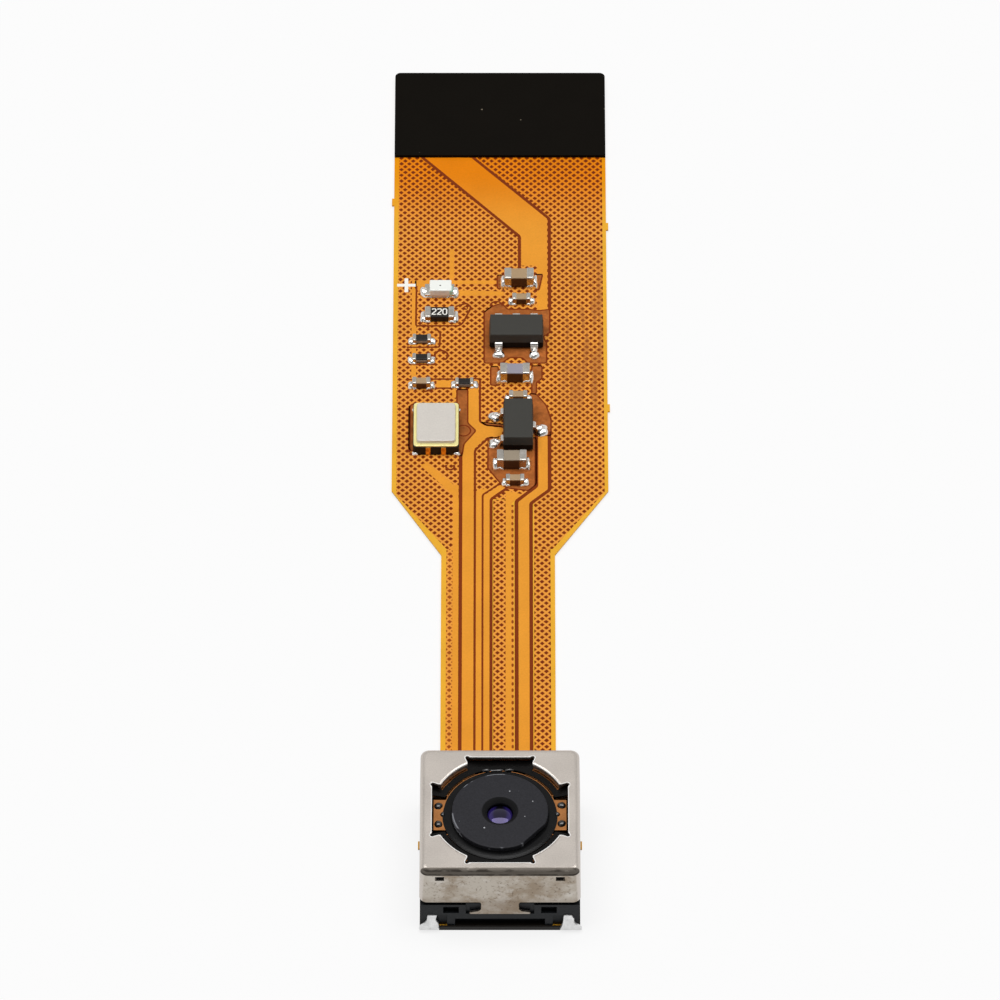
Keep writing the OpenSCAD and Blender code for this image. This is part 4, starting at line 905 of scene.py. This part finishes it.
def chip(name, body_finish, side_finish, cap, mark=False):
    """Chip with a fired body, a front face in its own finish, two wrapped metal ends and a swollen lump of
    solder at each end. On the capacitors the front is a darker brown copy of the body, painted shade."""
    low, high = node_box(name)
    end_low, end_high = node_box(name + "_ends")
    deep, tall = high[1] - low[1], high[2] - low[2]
    inset = 0.02
    fired = soft_block((low[0], low[1] + inset, low[2] + 0.02), (high[0], high[1] - inset, high[2] - inset),
                       0.03, 0.05, 0.02)
    # front face: on the capacitors it is painted shade
    front = soft_block((low[0] + 0.05, low[1] + inset - 0.012, low[2] + 0.03),
                       (high[0] - 0.05, low[1] + 0.1, high[2] - 0.08), 0.03, 0.04, 0.02)
    parts = [(fired, body_finish), (front, side_finish)]
    long = cap * (end_high[0] - end_low[0])
    for side, edge, start, stop in end_spans(end_low, end_high, long):
        seed = 0.37 * low[1] + side
        cover = end_cover(end_low, end_high, start, stop, 0.07, 0.08, 0.02, 0, 5)
        beside = lump((edge + side * 0.06, low[1] + 0.40 * deep), (0.20, deep * 0.56),
                      CHIP_FOOT, tall * 0.54, seed)
        before = lump((edge - side * long * 0.45, low[1]), (long * 0.55, 0.09),
                      CHIP_FOOT, tall * 0.26, seed + 0.5)
        parts += [(cover, tin), (beside, solder), (before, solder)]
    if mark:
        parts += [(shape, white_print) for shape in digits((low + high) / 2, high[2] - inset)]
    piece(name + "_part", parts, stands_for=(name, name + "_ends"))


DIGIT_LINES = {
    "2": [(0, 1), (0.1, 1.15), (0.5, 1.15), (0.6, 1), (0.6, 0.75), (0, 0.1), (0, 0), (0.6, 0)],
    "0": [(0.12, 0), (0, 0.2), (0, 0.95), (0.12, 1.15), (0.48, 1.15), (0.6, 0.95), (0.6, 0.2), (0.48, 0),
          (0.14, 0)],
}
DIGIT_TALL, DIGIT_STEP, DIGIT_WIDTH = 0.34, 0.29, 0.065


def digits(centre, top):
    """A resistor's plain value, 220, in painted lines."""
    shapes = []
    for place, digit in enumerate("220"):
        corner = [centre[0] - 0.4 + DIGIT_STEP * place, centre[1] - 0.20]
        path = np.array(DIGIT_LINES[digit]) * DIGIT_TALL + corner
        shapes.append(strip(path, DIGIT_WIDTH, top - 0.004, top + 0.008, 0.002))
    return shapes


chip("resistor_1", resistor_black, resistor_black, 0.21, mark=True)
for number in (2, 3, 4):
    chip(f"resistor_{number}", resistor_black, ceramic_white, 0.21)
for number in (1, 2, 3, 4, 5, 6, 7):
    body = {3: cap_grey, 5: cap_brown_grey}.get(number, cap_tan)
    chip(f"capacitor_{number}", body, shaded_cap_front, 0.25)

LEAD_REACH, LEAD_WIDTH, LEAD_THICK = 0.5, 0.40, 0.12
LEAD_STEP = 0.95                 # between the middles of neighbouring leads


def gull_lead(foot, out, low, top):
    """Lead that leaves a body level, turns down and ends in a flat foot: straight runs joined by two
    bends."""
    out = np.array([*out, 0.0])
    up = np.array([0, 0, 1.0])
    reach = LEAD_REACH
    profile = [(0.0, top), (0.28 * reach, top), (0.5 * reach, (top + low) / 2), (0.62 * reach, low),
               (1.25 * reach, low)]
    smooth = rounded(profile, 0.09, 5)
    path = np.array([foot[0], foot[1], 0.0]) + smooth[:, :1] * out + smooth[:, 1:] * up
    return bent_strip(path, LEAD_WIDTH, LEAD_THICK, np.cross(up, out))


def regulator(name, leads):
    """Moulded three-part body with sloping sides, near black below its seam, with gull-wing leads and their
    solder. The near black below the seam is the same moulding in painted shade. A lead is given as its
    place, its way out, the size of its solder and the height it leaves at."""
    low, high = node_box(name)
    seam = low[2] + 0.45 * (high[2] - low[2])
    below = soft_block(low + [0.01, 0.01, 0.06], (high[0] - 0.01, high[1] - 0.01, seam + 0.03),
                       0.06, 0.01, 0.06)
    above = soft_block((low[0], low[1], seam), high, 0.07, 0.05, 0.0, 0.10)
    # below the seam: the moulding painted in shade
    parts = [(below, shaded_moulding), (above, moulded)]
    for (x, y), out, size, exit_share in leads:
        exit_z = low[2] + exit_share * (high[2] - low[2])
        parts.append((gull_lead((x, y), out, LAYER["pad"] + 0.06, exit_z), lead_metal))
        for share, grow, tall in ((1.0, 1.0, 0.26), (0.75, 0.7, 0.36)):
            centre = (x + out[0] * LEAD_REACH * share * 1.1, y + out[1] * LEAD_REACH * share * 1.1)
            half = (size[0] * grow, size[1] * grow)
            parts.append((lump(centre, half, CHIP_FOOT, tall, x + y + share, 2.4), solder))
    piece(name + "_part", parts, stands_for=(name, name + "_leads"))


def regulators():
    """The first regulator has two leads in front and three behind, the second two on the left and one on
    the right."""
    low, high = REG_LOW, REG_HIGH
    mid = (low + high) / 2
    leads = [((mid[0] + side * LEAD_STEP, low[1] + 0.06), (0, -1), (0.33, 0.28), 0.45) for side in SIDES]
    leads += [((mid[0] + side * LEAD_STEP, high[1] - 0.06), (0, 1), (0.28, 0.22), 0.86)
              for side in (-1, 0, 1)]
    regulator("regulator_1", leads)
    low, high = node_box("regulator_2")
    mid = (low + high) / 2
    leads = [((low[0] + 0.06, mid[1] + side * LEAD_STEP), (-1, 0), (0.34, 0.33), 0.45) for side in SIDES]
    leads.append(((high[0] - 0.06, mid[1]), (1, 0), (0.36, 0.42), 0.45))
    regulator("regulator_2", leads)


def led():
    """Light-emitting chip: a white base, a frosted resin block with a dark dot, and rough metal ends."""
    low, high = node_box("led_base")
    lens_low, lens_high = node_box("led_lens")
    end_low, end_high = node_box("led_ends")
    middle = (lens_low + lens_high) / 2
    resin = soft_block((middle[0] - 0.56, lens_low[1] - 0.04, lens_low[2] - 0.02),
                       (middle[0] + 0.66, lens_high[1] + 0.03, lens_high[2]), 0.08, 0.05, 0, 0.06)
    tinted = soft_block((middle[0] + 0.50, lens_low[1] - 0.045, lens_low[2]),
                        (middle[0] + 0.70, middle[1] + 0.02, lens_high[2] - 0.04), 0.05, 0.05, 0, 0.05)
    dot = bead((middle[0] + 0.03, middle[1] - 0.03), (0.05, 0.045), lens_high[2] - 0.004, 0.012)
    parts = [(soft_block(low, high, 0.04, 0.03, 0.01), led_white), (resin, led_resin), (tinted, led_teal),
             (dot, resistor_black)]
    for side, edge, start, stop in end_spans(end_low, end_high, 0.3):
        cover = end_cover(end_low, end_high, start, stop, 0.05, 0.04, 0.01)
        beside = lump((edge + side * 0.02, middle[1] - 0.03), (0.25, 0.40), CHIP_FOOT, 0.30, side * 0.8)
        before = lump((edge - side * 0.2, low[1] + 0.02), (0.22, 0.1), CHIP_FOOT, 0.16, side * 0.3)
        parts += [(cover, tin), (beside, solder), (before, solder)]
    piece("led", parts, stands_for=("led_base", "led_lens", "led_ends"))


def oscillator():
    """Clock can: a dark ceramic foot with gold side contacts, a gold frame and a satin lid."""
    low, high = node_box("oscillator_base")
    ring_top = heights("oscillator_ring")[1]
    lid_low, lid_top = heights("oscillator_lid")
    inset = 0.03

    def layer(set_x, set_y, start, top, *edges):
        """Block set in from the foot's sides."""
        near, far = (low[0] + set_x, low[1] + set_y, start), (high[0] - set_x, high[1] - set_y, top)
        return soft_block(near, far, *edges)

    parts = [(soft_block(low, high, 0.12, 0.015, 0.01), ceramic_dark),
             (layer(inset, inset, high[2] - 0.07, high[2], 0.14, 0.01, 0.01), gold),
             (layer(inset, inset, high[2], ring_top, 0.18, 0.03), gold_frame),
             (layer(0.18, 0.20, lid_low - 0.01, lid_top, 0.2, 0.045, 0, 0.1), lid_metal)]
    centre = (low[0] + high[0]) / 2
    for x in (-0.42, 0.40):
        contact = soft_block((centre + x - 0.13, low[1] - 0.012, low[2]),
                             (centre + x + 0.13, low[1] + 0.05, high[2] - 0.02), 0.02, 0.02)
        parts.append((contact, gold))
    for side in SIDES:
        for end in SIDES:
            x = low[0] + 0.12 if side < 0 else high[0] - 0.12
            y = low[1] + 0.04 if end < 0 else high[1] - 0.04
            parts.append((lump((x, y), (0.2, 0.13), CHIP_FOOT, 0.16, side + 0.4 * end), solder))
    piece("oscillator", parts, stands_for=("oscillator_base", "oscillator_ring", "oscillator_lid"))


regulators()
led()
oscillator()


# ---------------------------------------------------------------- the camera's can

SHEET = 0.15                     # thickness of the can's metal
OPEN_R, NOTCH_OUT, NOTCH_HALF = 3.45, 3.47, 1.66   # round opening, and how far out and how wide a notch is
NOTCH_END = 28.85                # degrees from the middle of a notch to where the round rim starts
# turns from the middle of a notch where the opening's edge bends
NOTCH_TURNS = np.array([24.6, 25.0, 25.57, 26.2, 27.4, 28.7, 28.8, 28.9])
# slots in the front and back walls: the wall's y, then each slot's x and height, from and to
SLOT_WALL, SLOT_NEAR, SLOT_FAR = 4.02, 2.8, 3.26
SLOT_LOW, SLOT_TOP = 3.89, 4.19
SLOT_ANGLES = [round(math.degrees(math.atan2(y, x)) % 360, 4) for y in (-SLOT_WALL, SLOT_WALL)
               for x in (-SLOT_FAR, -SLOT_NEAR, SLOT_NEAR, SLOT_FAR)]


def can_angles():
    """Directions round the can, close together at the corners, the notches and the wall slots."""
    quarters = 90 * np.arange(4)[:, None]
    corners = quarters + np.arange(41, 49.01, 0.5)
    notches = np.concatenate([quarters + NOTCH_TURNS, quarters + 90 - NOTCH_TURNS])
    fine = np.concatenate([np.arange(0, 360, 2.0), corners.ravel(), notches.ravel(), SLOT_ANGLES])
    return np.radians(np.unique(np.round(fine % 360, 4)))


def off_square(angle):
    """Angle from the nearest of the four directions square to the can's walls."""
    return np.mod(angle + math.pi / 4, math.pi / 2) - math.pi / 4


def on_rim(angle):
    """True where the opening is round, clear of its four notches."""
    return np.degrees(np.abs(off_square(angle))) > NOTCH_END


def square_reach(angle, half, corner):
    """Distance from the middle to the edge of a square with rounded corners, in each direction."""
    c, s = np.abs(np.cos(angle)), np.abs(np.sin(angle))
    flat = half / np.maximum(c, s)
    middle = half - corner
    along = middle * (c + s)
    bend = along + np.sqrt(np.maximum(along ** 2 - 2 * middle ** 2 + corner ** 2, 0))
    return np.where(np.minimum(c, s) * flat > middle, bend, flat)


def opening_reach(angle, grow=0.0):
    """Distance to the edge of the round opening, which four square notches and their round corners
    widen."""
    turn = off_square(angle)
    notch = np.minimum((NOTCH_OUT + grow) / np.cos(turn),
                       (NOTCH_HALF + grow) / np.maximum(np.abs(np.sin(turn)), 1e-6))
    corner_x, corner_y = NOTCH_OUT - 0.02, NOTCH_HALF + 0.02
    far, slant = math.hypot(corner_x, corner_y), math.atan2(corner_y, corner_x)
    relief = 0.1 + grow
    past = np.abs(turn) - slant
    off = far * np.sin(past)
    bow = far * np.cos(past) + np.sqrt(np.maximum(relief ** 2 - off ** 2, 0))
    corner = np.where(np.abs(off) < relief, bow, 0)
    return np.maximum(np.maximum(OPEN_R + grow, notch), corner)


def can_loops(angle):
    """Loops round the can as (distance, height): from the wall's foot, over the bend and the top, down the
    rim of the opening and back inside to the foot. The second list is where its inner wall starts."""

    def level(z):
        """The same height in every direction."""
        return np.full_like(angle, z)

    def square(half, corner, z):
        """Level loop of the square walls, which lean in a little towards the top."""
        lean = 0.05 * (z - CAN_BOTTOM) / (CAN_TOP - CAN_BOTTOM)
        return square_reach(angle, half - lean, corner), level(z)

    hold = 0.012
    rim, opening = on_rim(angle), opening_reach(angle)
    loops = [square(CAN_HALF, 0.42, z) for z in (CAN_BOTTOM, SLOT_LOW, SLOT_TOP, CAN_TOP - CAN_EDGE - hold)]
    for a in np.radians(np.linspace(0, 90, 7)):
        back, rise = 1 - math.cos(a), CAN_EDGE * math.sin(a)
        loops.append(square(CAN_HALF - CAN_EDGE * back, 0.42 - 0.2 * back, CAN_TOP - CAN_EDGE + rise))
    loops.append(square(CAN_HALF - CAN_EDGE - hold, 0.21, CAN_TOP))
    lip = np.where(rim, 0.13, 0.045)
    loops.append((opening + lip + hold, level(CAN_TOP)))
    for a in np.radians((0, 18, 36, 54, 72, 90)):
        loops.append((opening + lip * (1 - math.sin(a)), CAN_TOP - lip * (1 - math.cos(a))))
    loops.append((opening, CAN_TOP - lip - hold))
    low = np.where(rim, CAN_TOP - 0.35, CAN_TOP - SHEET)
    inside = opening + np.where(rim, SHEET, 0.01)
    loops += [(opening, low), (inside, low), (inside + 0.002, level(CAN_TOP - SHEET))]
    inner_start = len(loops)
    loops += [square(CAN_HALF - SHEET, 0.28, z) for z in (CAN_TOP - SHEET, SLOT_TOP, SLOT_LOW, CAN_BOTTOM)]
    return loops, inner_start


def shield_can():
    """The can's loops joined into one skin, with the wall slots left out of both walls and the cuts
    lined."""
    angle = can_angles()
    loops, inner_start = can_loops(angle)
    cols, rows = len(angle), len(loops)
    radius, height = np.array([r for r, _ in loops]), np.array([z for _, z in loops])
    points = np.stack([radius * np.cos(angle), radius * np.sin(angle), height], -1)
    faces = grid(rows, cols, True, True)
    outer, inner = 1, inner_start + 1

    def at(row, col):
        """Number of a point of the skin."""
        return row * cols + col % cols

    cuts = []
    for pair in zip(SLOT_ANGLES[0::2], SLOT_ANGLES[1::2]):
        first, last = sorted(int(np.argmin(np.abs(np.degrees(angle) - a))) for a in pair)
        cuts.append((first, last))
        for c in range(first, last):
            faces.append([at(outer, c), at(inner + 1, c), at(inner + 1, c + 1), at(outer, c + 1)])
            faces.append([at(outer + 1, c), at(outer + 1, c + 1), at(inner, c + 1), at(inner, c)])
        for c in (first, last):
            faces.append([at(outer, c), at(outer + 1, c), at(inner, c), at(inner + 1, c)])
    drop = {(row, c) for first, last in cuts for c in range(first, last) for row in (outer, inner)}
    faces = [f for k, f in enumerate(faces) if k >= rows * cols or (k // cols, k % cols) not in drop]
    return points.reshape(-1, 3), faces


def can_tabs():
    """Front and back tabs: a flat outline with a hook on each side, laid against the wall and given its
    thickness."""
    half, low, hook, slant = 0.97, 1.25, 1.55, 0.02
    right = [(half + 0.25, CAN_BOTTOM + 0.1), (half + 0.12, CAN_BOTTOM), (half + 0.03, CAN_BOTTOM - 0.06),
             (half, CAN_BOTTOM - 0.16), (half, 1.62), (half + 0.06, 1.52), (half + 0.16, 1.46),
             (hook - 0.1, 1.40), (hook, 1.37), (hook, 1.29), (hook - 0.04, low)]
    outline = np.array(right + [(-x, z) for x, z in right[::-1]])
    inner = set_in(outline, slant)
    shapes = []
    for side in SIDES:
        depths = ((inner, SHEET), (outline, SHEET - slant), (outline, slant), (inner, 0.0))
        loops = [np.column_stack([line[:, 0], np.full(len(line), side * CAN_HALF - side * deep), line[:, 1]])
                 for line, deep in depths]
        shapes.append(loft(loops))
    return shapes


def rim_highlight_ring():
    """Painted highlight along the opening: a thin bright ring that follows the opening's edge, standing in
    for the light that its rim catches."""
    angle = can_angles()
    inner, outer = (around(opening_reach(angle, grow), angle) for grow in (0.012, 0.062))
    return set_ring(inner, outer, CAN_TOP - 0.06, CAN_TOP + 0.005, 0.012)


can_parts = [(shield_can(), can_metal), (rim_highlight_ring(), rim_highlight_paint)] + [(tab, can_metal) for tab in can_tabs()]
piece("can", can_parts, stands_for=("shield_can",), sharp=34)


# ---------------------------------------------------------------- the camera's springs and lens

LEAF_R, LEAF_OUT, FRAME_R = 2.95, 3.4, 3.12       # spring's moving ring, its wings, and the hole of its frame
LEAF_CORNERS = np.array([16.39, 19.81, 19.55, 23.62])   # turns to the corners of a wing and of a gap
COVER_R = 3.02                   # round hole of the black frame over the spring
RIM_OUT = 2.90                   # outer radius of the carrier's black rim
GLUE_R = 2.93                    # where the glue at the carrier's sides sits


def spring_cover():
    """Black frame over the upper spring's own frame: a ring between a circle and the edge of the can's
    opening, open where the carrier's two wings lie."""
    angle = can_angles()
    out = np.where(on_rim(angle), 3.37, opening_reach(angle, 0.12))
    wing = (np.abs(COVER_R * np.sin(angle)) < 1.08) & (np.abs(np.cos(angle)) > 0.8)
    inner = np.where(wing, out - 0.03, COVER_R)
    return set_ring(around(inner, angle), around(out, angle), SPRING_TOP + 0.004, SPRING_TOP + 0.06, 0.015)


def leaf_angles():
    """Directions round the lens axis, with the corners of the wings and of the frame's four gaps among
    them."""
    corners = [np.mod(90 * k + side * LEAF_CORNERS, 360) for k in range(4) for side in SIDES]
    return np.radians(np.unique(np.concatenate([np.arange(0, 360, 2.0)] + corners)))


def sheet_ring(inner, outer, angle):
    """Ring of the spring's sheet between two distances from the lens axis."""
    return set_ring(around(inner, angle), around(outer, angle), SPRING_LOW, SPRING_TOP, 0.008)


def spring_outer():
    """Fixed frame of the upper spring: a square ring whose round hole four square gaps widen."""
    angle = leaf_angles()
    c, s = np.abs(np.cos(angle)), np.abs(np.sin(angle))
    gap = np.minimum(3.52 / np.maximum(c, s), 1.25 / np.maximum(np.minimum(c, s), 1e-6))
    return sheet_ring(np.maximum(FRAME_R, gap), square_reach(angle, 3.9, 0.4), angle)


def spring_leaf():
    """Part of the upper spring that is glued to the lens carrier: a ring with one square wing on each
    side."""
    angle = leaf_angles()
    c, s = np.abs(np.cos(angle)), np.abs(np.sin(angle))
    wing = np.where(c > 0.8, np.minimum(LEAF_OUT / c, 1.0 / np.maximum(s, 1e-6)), 0)
    return sheet_ring(np.full_like(angle, LEAF_R - 0.15), np.maximum(LEAF_R, wing), angle)


def spring_arms():
    """Four thin arms, each an arc with a foot on the moving ring and a foot on the frame."""
    turn = np.radians(np.linspace(25.5, 64.5, 28))
    radius = np.concatenate([[LEAF_R - 0.075], np.full(len(turn), LEAF_R + 0.085), [FRAME_R + 0.075]])
    turn = np.concatenate([turn[:1], turn, turn[-1:]])
    path = around(radius, turn)
    for number, corner in enumerate(((1, 1), (-1, 1), (-1, -1), (1, -1)), 1):
        own = path * corner
        shape = strip(own, 0.06, SPRING_LOW, SPRING_TOP, 0.006)
        arm = piece(f"spring_arm_{number}", [(shape, spring_bronze)], body=None)
        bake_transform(arm)


def carrier_ring():
    """Black rim of the lens carrier: it holds the spring's moving ring down. It is wider towards the front,
    and at the back it leaves a thin edge of that ring bare."""
    low, high = SPRING_TOP - 0.06, SPRING_TOP + 0.06

    def wider(r, a):
        """The outer edge moved out, all of it in front and none of it behind."""
        return np.where(r > 2.85, r + 0.055 * np.clip(0.6 - 3 * np.sin(a), 0, 1), r)

    profile = [(2.30, low), (2.30, high - 0.03), (2.34, high), (2.76, high), (2.82, high - 0.02),
               (RIM_OUT, SPRING_TOP + 0.02), (RIM_OUT, low)]
    return turned(profile, steps=96, closed=True, reach=wider)


def barrel():
    """Lens barrel turned from its outline: a cone to the small aperture, a broad matt face with one flat
    cut on its rim, a skirt, and three steps inside for the lenses."""
    top, foot = BARREL_TOP, BARREL_LOW
    out, skirt = 2.47, 2.28
    tops = [node_box(name)[1] for name in ("rear_lens", "middle_lens", "front_lens")]
    (rear, rear_z), (middle, middle_z), (front, _) = [(high[0], high[2] - 0.12) for high in tops]
    face = [(0.67, top - 0.32), (0.67, top - 0.215), (0.685, top - 0.195), (0.93, top - 0.012),
            (0.945, top - 0.003), (0.97, top), (1.0, top), (out - 0.075, top), (out - 0.06, top - 0.001),
            (out - 0.02, top - 0.02), (out - 0.001, top - 0.06), (out, top - 0.075), (out, top - 0.28),
            (out - 0.02, top - 0.3)]
    inside = [(skirt, top - 0.3), (skirt, foot), (rear, foot), (rear, rear_z), (middle, rear_z),
              (middle, middle_z), (front, middle_z), (front, top - 0.32)]

    def flat_cut(r, a):
        """The rim cut by a straight line, which is nearest in the direction of -42 degrees."""
        cut = (r - 0.19) / np.maximum(np.cos(a + math.radians(42)), 0.2)
        return np.where(r > 2.3, np.minimum(r, cut), r)

    return turned(face + inside, steps=144, closed=True, reach=flat_cut)


def lens_front():
    """Coated front lens: a dome whose height falls by radius - sqrt(radius ^ 2 - r ^ 2)."""
    top, radius, rim = BARREL_TOP - 0.235, 1.5, 1.0
    r = np.linspace(rim, 0.015, 22)
    dome = list(zip(r, top - (radius - np.sqrt(radius ** 2 - r ** 2))))
    return turned([(rim, heights("front_lens")[0])] + dome, steps=72)


# gel along the back of the carrier: x, half sizes, height
GEL_DROPS = [(-0.72, (0.24, 0.12), 0.15), (-0.18, (0.40, 0.09), 0.09), (0.46, (0.26, 0.12), 0.15)]


def glue_beads():
    """Glossy drops of glue: two on each wing of the spring, one at each side of the carrier, and three
    along its back."""
    wing_x, low = node_box("glue_dots")[1][0] - 0.2, SPRING_TOP
    drops = [bead((side * wing_x, 0.6 * end + 0.02 * side), (0.22, 0.21), low, 0.16, 0.05, 2.2, 28, 8,
                  side + end) for side in SIDES for end in SIDES]
    drops += [bead((side * GLUE_R, 0.03), (0.13, 0.15), low, 0.12, 0.08, 2.2, 24, 7, side) for side in SIDES]
    for x, size, tall in GEL_DROPS:
        drops.append(bead((x, 2.96 - 0.03 * x * x), size, low - 0.02, tall, 0.10, 2.2, 28, 8, x))
    return [(drop, gel) for drop in drops]


def terminal_solder(side):
    """Solder round an upright terminal: rounded rectangles that narrow with height h, from 0 to 1, as
    0.21 + 0.33 * (1 - h) ^ 1.7 with a slow wave, and lean inwards at the foot."""
    low, high = node_box("actuator_terminals")
    middle, top = side * (high[0] - 0.21), high[2] + 0.02
    loops = []
    for h in np.linspace(0, 1, 9):
        half = 0.21 + 0.33 * (1 - h) ** 1.7 + 0.03 * math.sin(9 * h + side)
        deep = 0.03 + 0.11 * (1 - h) ** 1.3
        centre = (middle + side * (0.14 * (1 - h) ** 2 + 0.02 * math.sin(11 * h)), low[1] - deep + 0.05)
        outline = round_rect(half, deep, min(0.05, deep * 0.8), 2, centre)
        loops.append(with_z(outline, CHIP_FOOT + h * (top - CHIP_FOOT)))
    return loft(loops)


def foot_glue_and_shade():
    """Dark glue along the camera's foot, which is also painted shade where the base meets the film: a bead in
    front, the glue under the front wall, and a bead on each side."""
    front, side_x = -BASE_HALF - 0.055, BASE_HALF + 0.02
    low = FILM_TOP - 0.2
    shapes = [strip([(-BASE_HALF + 0.02, front), (BASE_HALF - 0.02, front)], 0.1, low, FILM_TOP + 0.12, 0.05),
              soft_block((-2.4, front, FILM_TOP - 0.01), (2.4, -3.4, FILM_TOP + 0.09), 0.05, 0.04)]
    for side in SIDES:
        shapes.append(strip([(side * side_x, front), (side * side_x, 4.1)], 0.07, low, FILM_TOP + 0.05, 0.02))
    return [(shape, dark_glue_and_shade) for shape in shapes]


def slot_shade_plates():
    """Black plates just inside the four slots of the can's walls: painted shade, so that the slots show as
    dark holes.
    """
    half, low, high = np.array([0.3, 0.02]), 3.8, 4.28
    middles = [np.array([side * (SLOT_NEAR + SLOT_FAR) / 2, end * 3.96]) for side in SIDES for end in SIDES]
    # dark plates that stand in for the shade inside the can
    shapes = [soft_block((*(middle - half), low), (*(middle + half), high), 0.01, 0.01) for middle in middles]
    return [(shape, frame_black) for shape in shapes]


piece("spring_frame_cover", [(spring_cover(), frame_black)], stands_for=("spring_spacer",))
piece("spring_frame", [(spring_outer(), spring_bronze)], stands_for=("upper_spring",))
piece("spring_leaf", [(spring_leaf(), spring_bronze)], body=FOCUS)
spring_arms()
piece("carrier_rim", [(carrier_ring(), carrier_gloss)], body=FOCUS)
piece("barrel", [(barrel(), barrel_black)], body=FOCUS, stands_for=("lens_barrel",),
      sharp=28)
piece("front_lens_coated", [(lens_front(), lens_coat)], body=FOCUS, stands_for=("front_lens",),
      sharp=60)
piece("glue_beads", glue_beads(), body=FOCUS, stands_for=("glue_dots",), sharp=60)
piece("solder_on_terminals", [(terminal_solder(side), solder_dull) for side in SIDES],
      stands_for=("solder_pads", "solder_joints"), sharp=22)
piece("foot_glue_and_shade", foot_glue_and_shade())
piece("slot_shade_plates", slot_shade_plates())

for name, material in (("sensor_board", board_green), ("image_sensor", silicon), ("camera_base", base_black),
                       ("infrared_filter", filter_glass), ("actuator_terminals", lead_metal), ("coil", wire),
                       ("magnets", magnet_metal), ("rear_lens", lens_glass), ("middle_lens", lens_glass),
                       ("lens_stops", stop_black), ("lower_spring", spring_bronze),
                       ("lens_carrier", carrier_black)):
    finish_node(name, material)


# ---------------------------------------------------------------- floor, light and camera, in metres

WHITE = (1, 1, 1, 1)
FLOOR_HALF, FLOOR_GAP = 1.6, 0.00002
LAMP_AT, LAMP_AIM, LAMP_SIZE, LAMP_POWER = (0.0, 0.03, 0.7), (0, 0.025, 0), (0.8, 0.45), 4.7
EYE_TARGET, EYE_DISTANCE, EYE_RISE, EYE_LENS = (0, 0.02503, 0.0001), 0.55, math.radians(48.7), 373.7


def stage():
    """Paper floor under the part: matt to the light, and nearly white to the eye and in reflections."""
    mesh = bpy.data.meshes.new("floor")
    s = FLOOR_HALF
    mesh.from_pydata([(-s, -s, 0), (s, -s, 0), (s, s, 0), (-s, s, 0)], [], [(0, 1, 2, 3)])
    floor = bpy.data.objects.new("floor", mesh)
    floor.location.z = CAD_BOX[0][2] - FLOOR_GAP
    bpy.context.scene.collection.objects.link(floor)
    paper = bpy.data.materials.new("white paper floor")
    paper.use_nodes = True
    tree = paper.node_tree
    tree.nodes.clear()
    path = node(tree, "LightPath").outputs
    seen = calc(tree, "MAXIMUM", path["Is Glossy Ray"], path["Is Transmission Ray"])
    seen = calc(tree, "MAXIMUM", path["Is Camera Ray"], seen)
    glow = node(tree, "Emission", {"Color": WHITE, "Strength": 1.0}).outputs[0]
    matt = node(tree, "BsdfDiffuse", {"Color": (0.9, 0.9, 0.9, 1)}).outputs[0]
    mix = node(tree, "MixShader", [times(tree, seen, 0.8), matt, glow])
    tree.links.new(mix.outputs[0], node(tree, "OutputMaterial").inputs[0])
    mesh.materials.append(paper)


def softbox(name, at, aim, size, power):
    """Rectangular lamp turned towards a point: tilted by the angle from straight down, then turned to
    it."""
    light = bpy.data.lights.new(name, "AREA")
    light.shape, light.size, light.size_y, light.energy = "RECTANGLE", size[0], size[1], power
    obj = bpy.data.objects.new(name, light)
    obj.location = at
    direction = np.array(aim, float) - np.array(at, float)
    flat = math.hypot(direction[0], direction[1])
    obj.rotation_euler = (math.atan2(flat, -direction[2]), 0, math.atan2(-direction[0], direction[1]))
    bpy.context.scene.collection.objects.link(obj)


def white_room():
    """World that is white to the eye. Shiny faces see it dimmer overhead and dimmest where the camera is; it
    lights matt faces a little."""
    world = bpy.data.worlds.new("white room")
    world.use_nodes = True
    tree = world.node_tree
    background = next(n for n in tree.nodes if n.type == "BACKGROUND")
    path = node(tree, "LightPath").outputs
    way = node(tree, "SeparateXYZ", [node(tree, "TexCoord").outputs["Generated"]]).outputs
    low = opposite(tree, step(tree, way[Z], 0.1, 0.6))
    room = calc(tree, "ADD", times(tree, low, 0.4), 0.6)
    facing = calc(tree, "ADD", times(tree, way[Y], -0.66), times(tree, way[Z], 0.75))
    front = step(tree, facing, 0.72, 0.97)
    room = times(tree, room, opposite(tree, times(tree, front, 0.8)))
    shiny = times(tree, path["Is Glossy Ray"], room)
    seen = calc(tree, "MAXIMUM", path["Is Camera Ray"], path["Is Transmission Ray"])
    strength = calc(tree, "MAXIMUM", calc(tree, "MAXIMUM", seen, shiny), 0.2)
    tree.links.new(strength, background.inputs["Strength"])
    background.inputs["Color"].default_value = WHITE
    return world


def long_camera():
    """Camera far in front of the part and above it, with a long lens."""
    camera = bpy.data.cameras.new("camera")
    camera.sensor_width = 36.0
    camera.lens = EYE_LENS
    camera.clip_start, camera.clip_end = 0.02, 20
    eye = bpy.data.objects.new("camera", camera)
    back = np.array([0, -math.cos(EYE_RISE), math.sin(EYE_RISE)])
    eye.location = np.array(EYE_TARGET) + EYE_DISTANCE * back
    eye.rotation_euler = (math.pi / 2 - EYE_RISE, 0, 0)
    return eye


def light_and_camera():
    """The room, its one lamp and the camera."""
    scene = bpy.context.scene
    scene.view_settings.view_transform = "Standard"
    scene.world = white_room()
    softbox("overhead softbox", LAMP_AT, LAMP_AIM, LAMP_SIZE, LAMP_POWER)
    scene.camera = long_camera()
    scene.collection.objects.link(scene.camera)


stage()
light_and_camera()
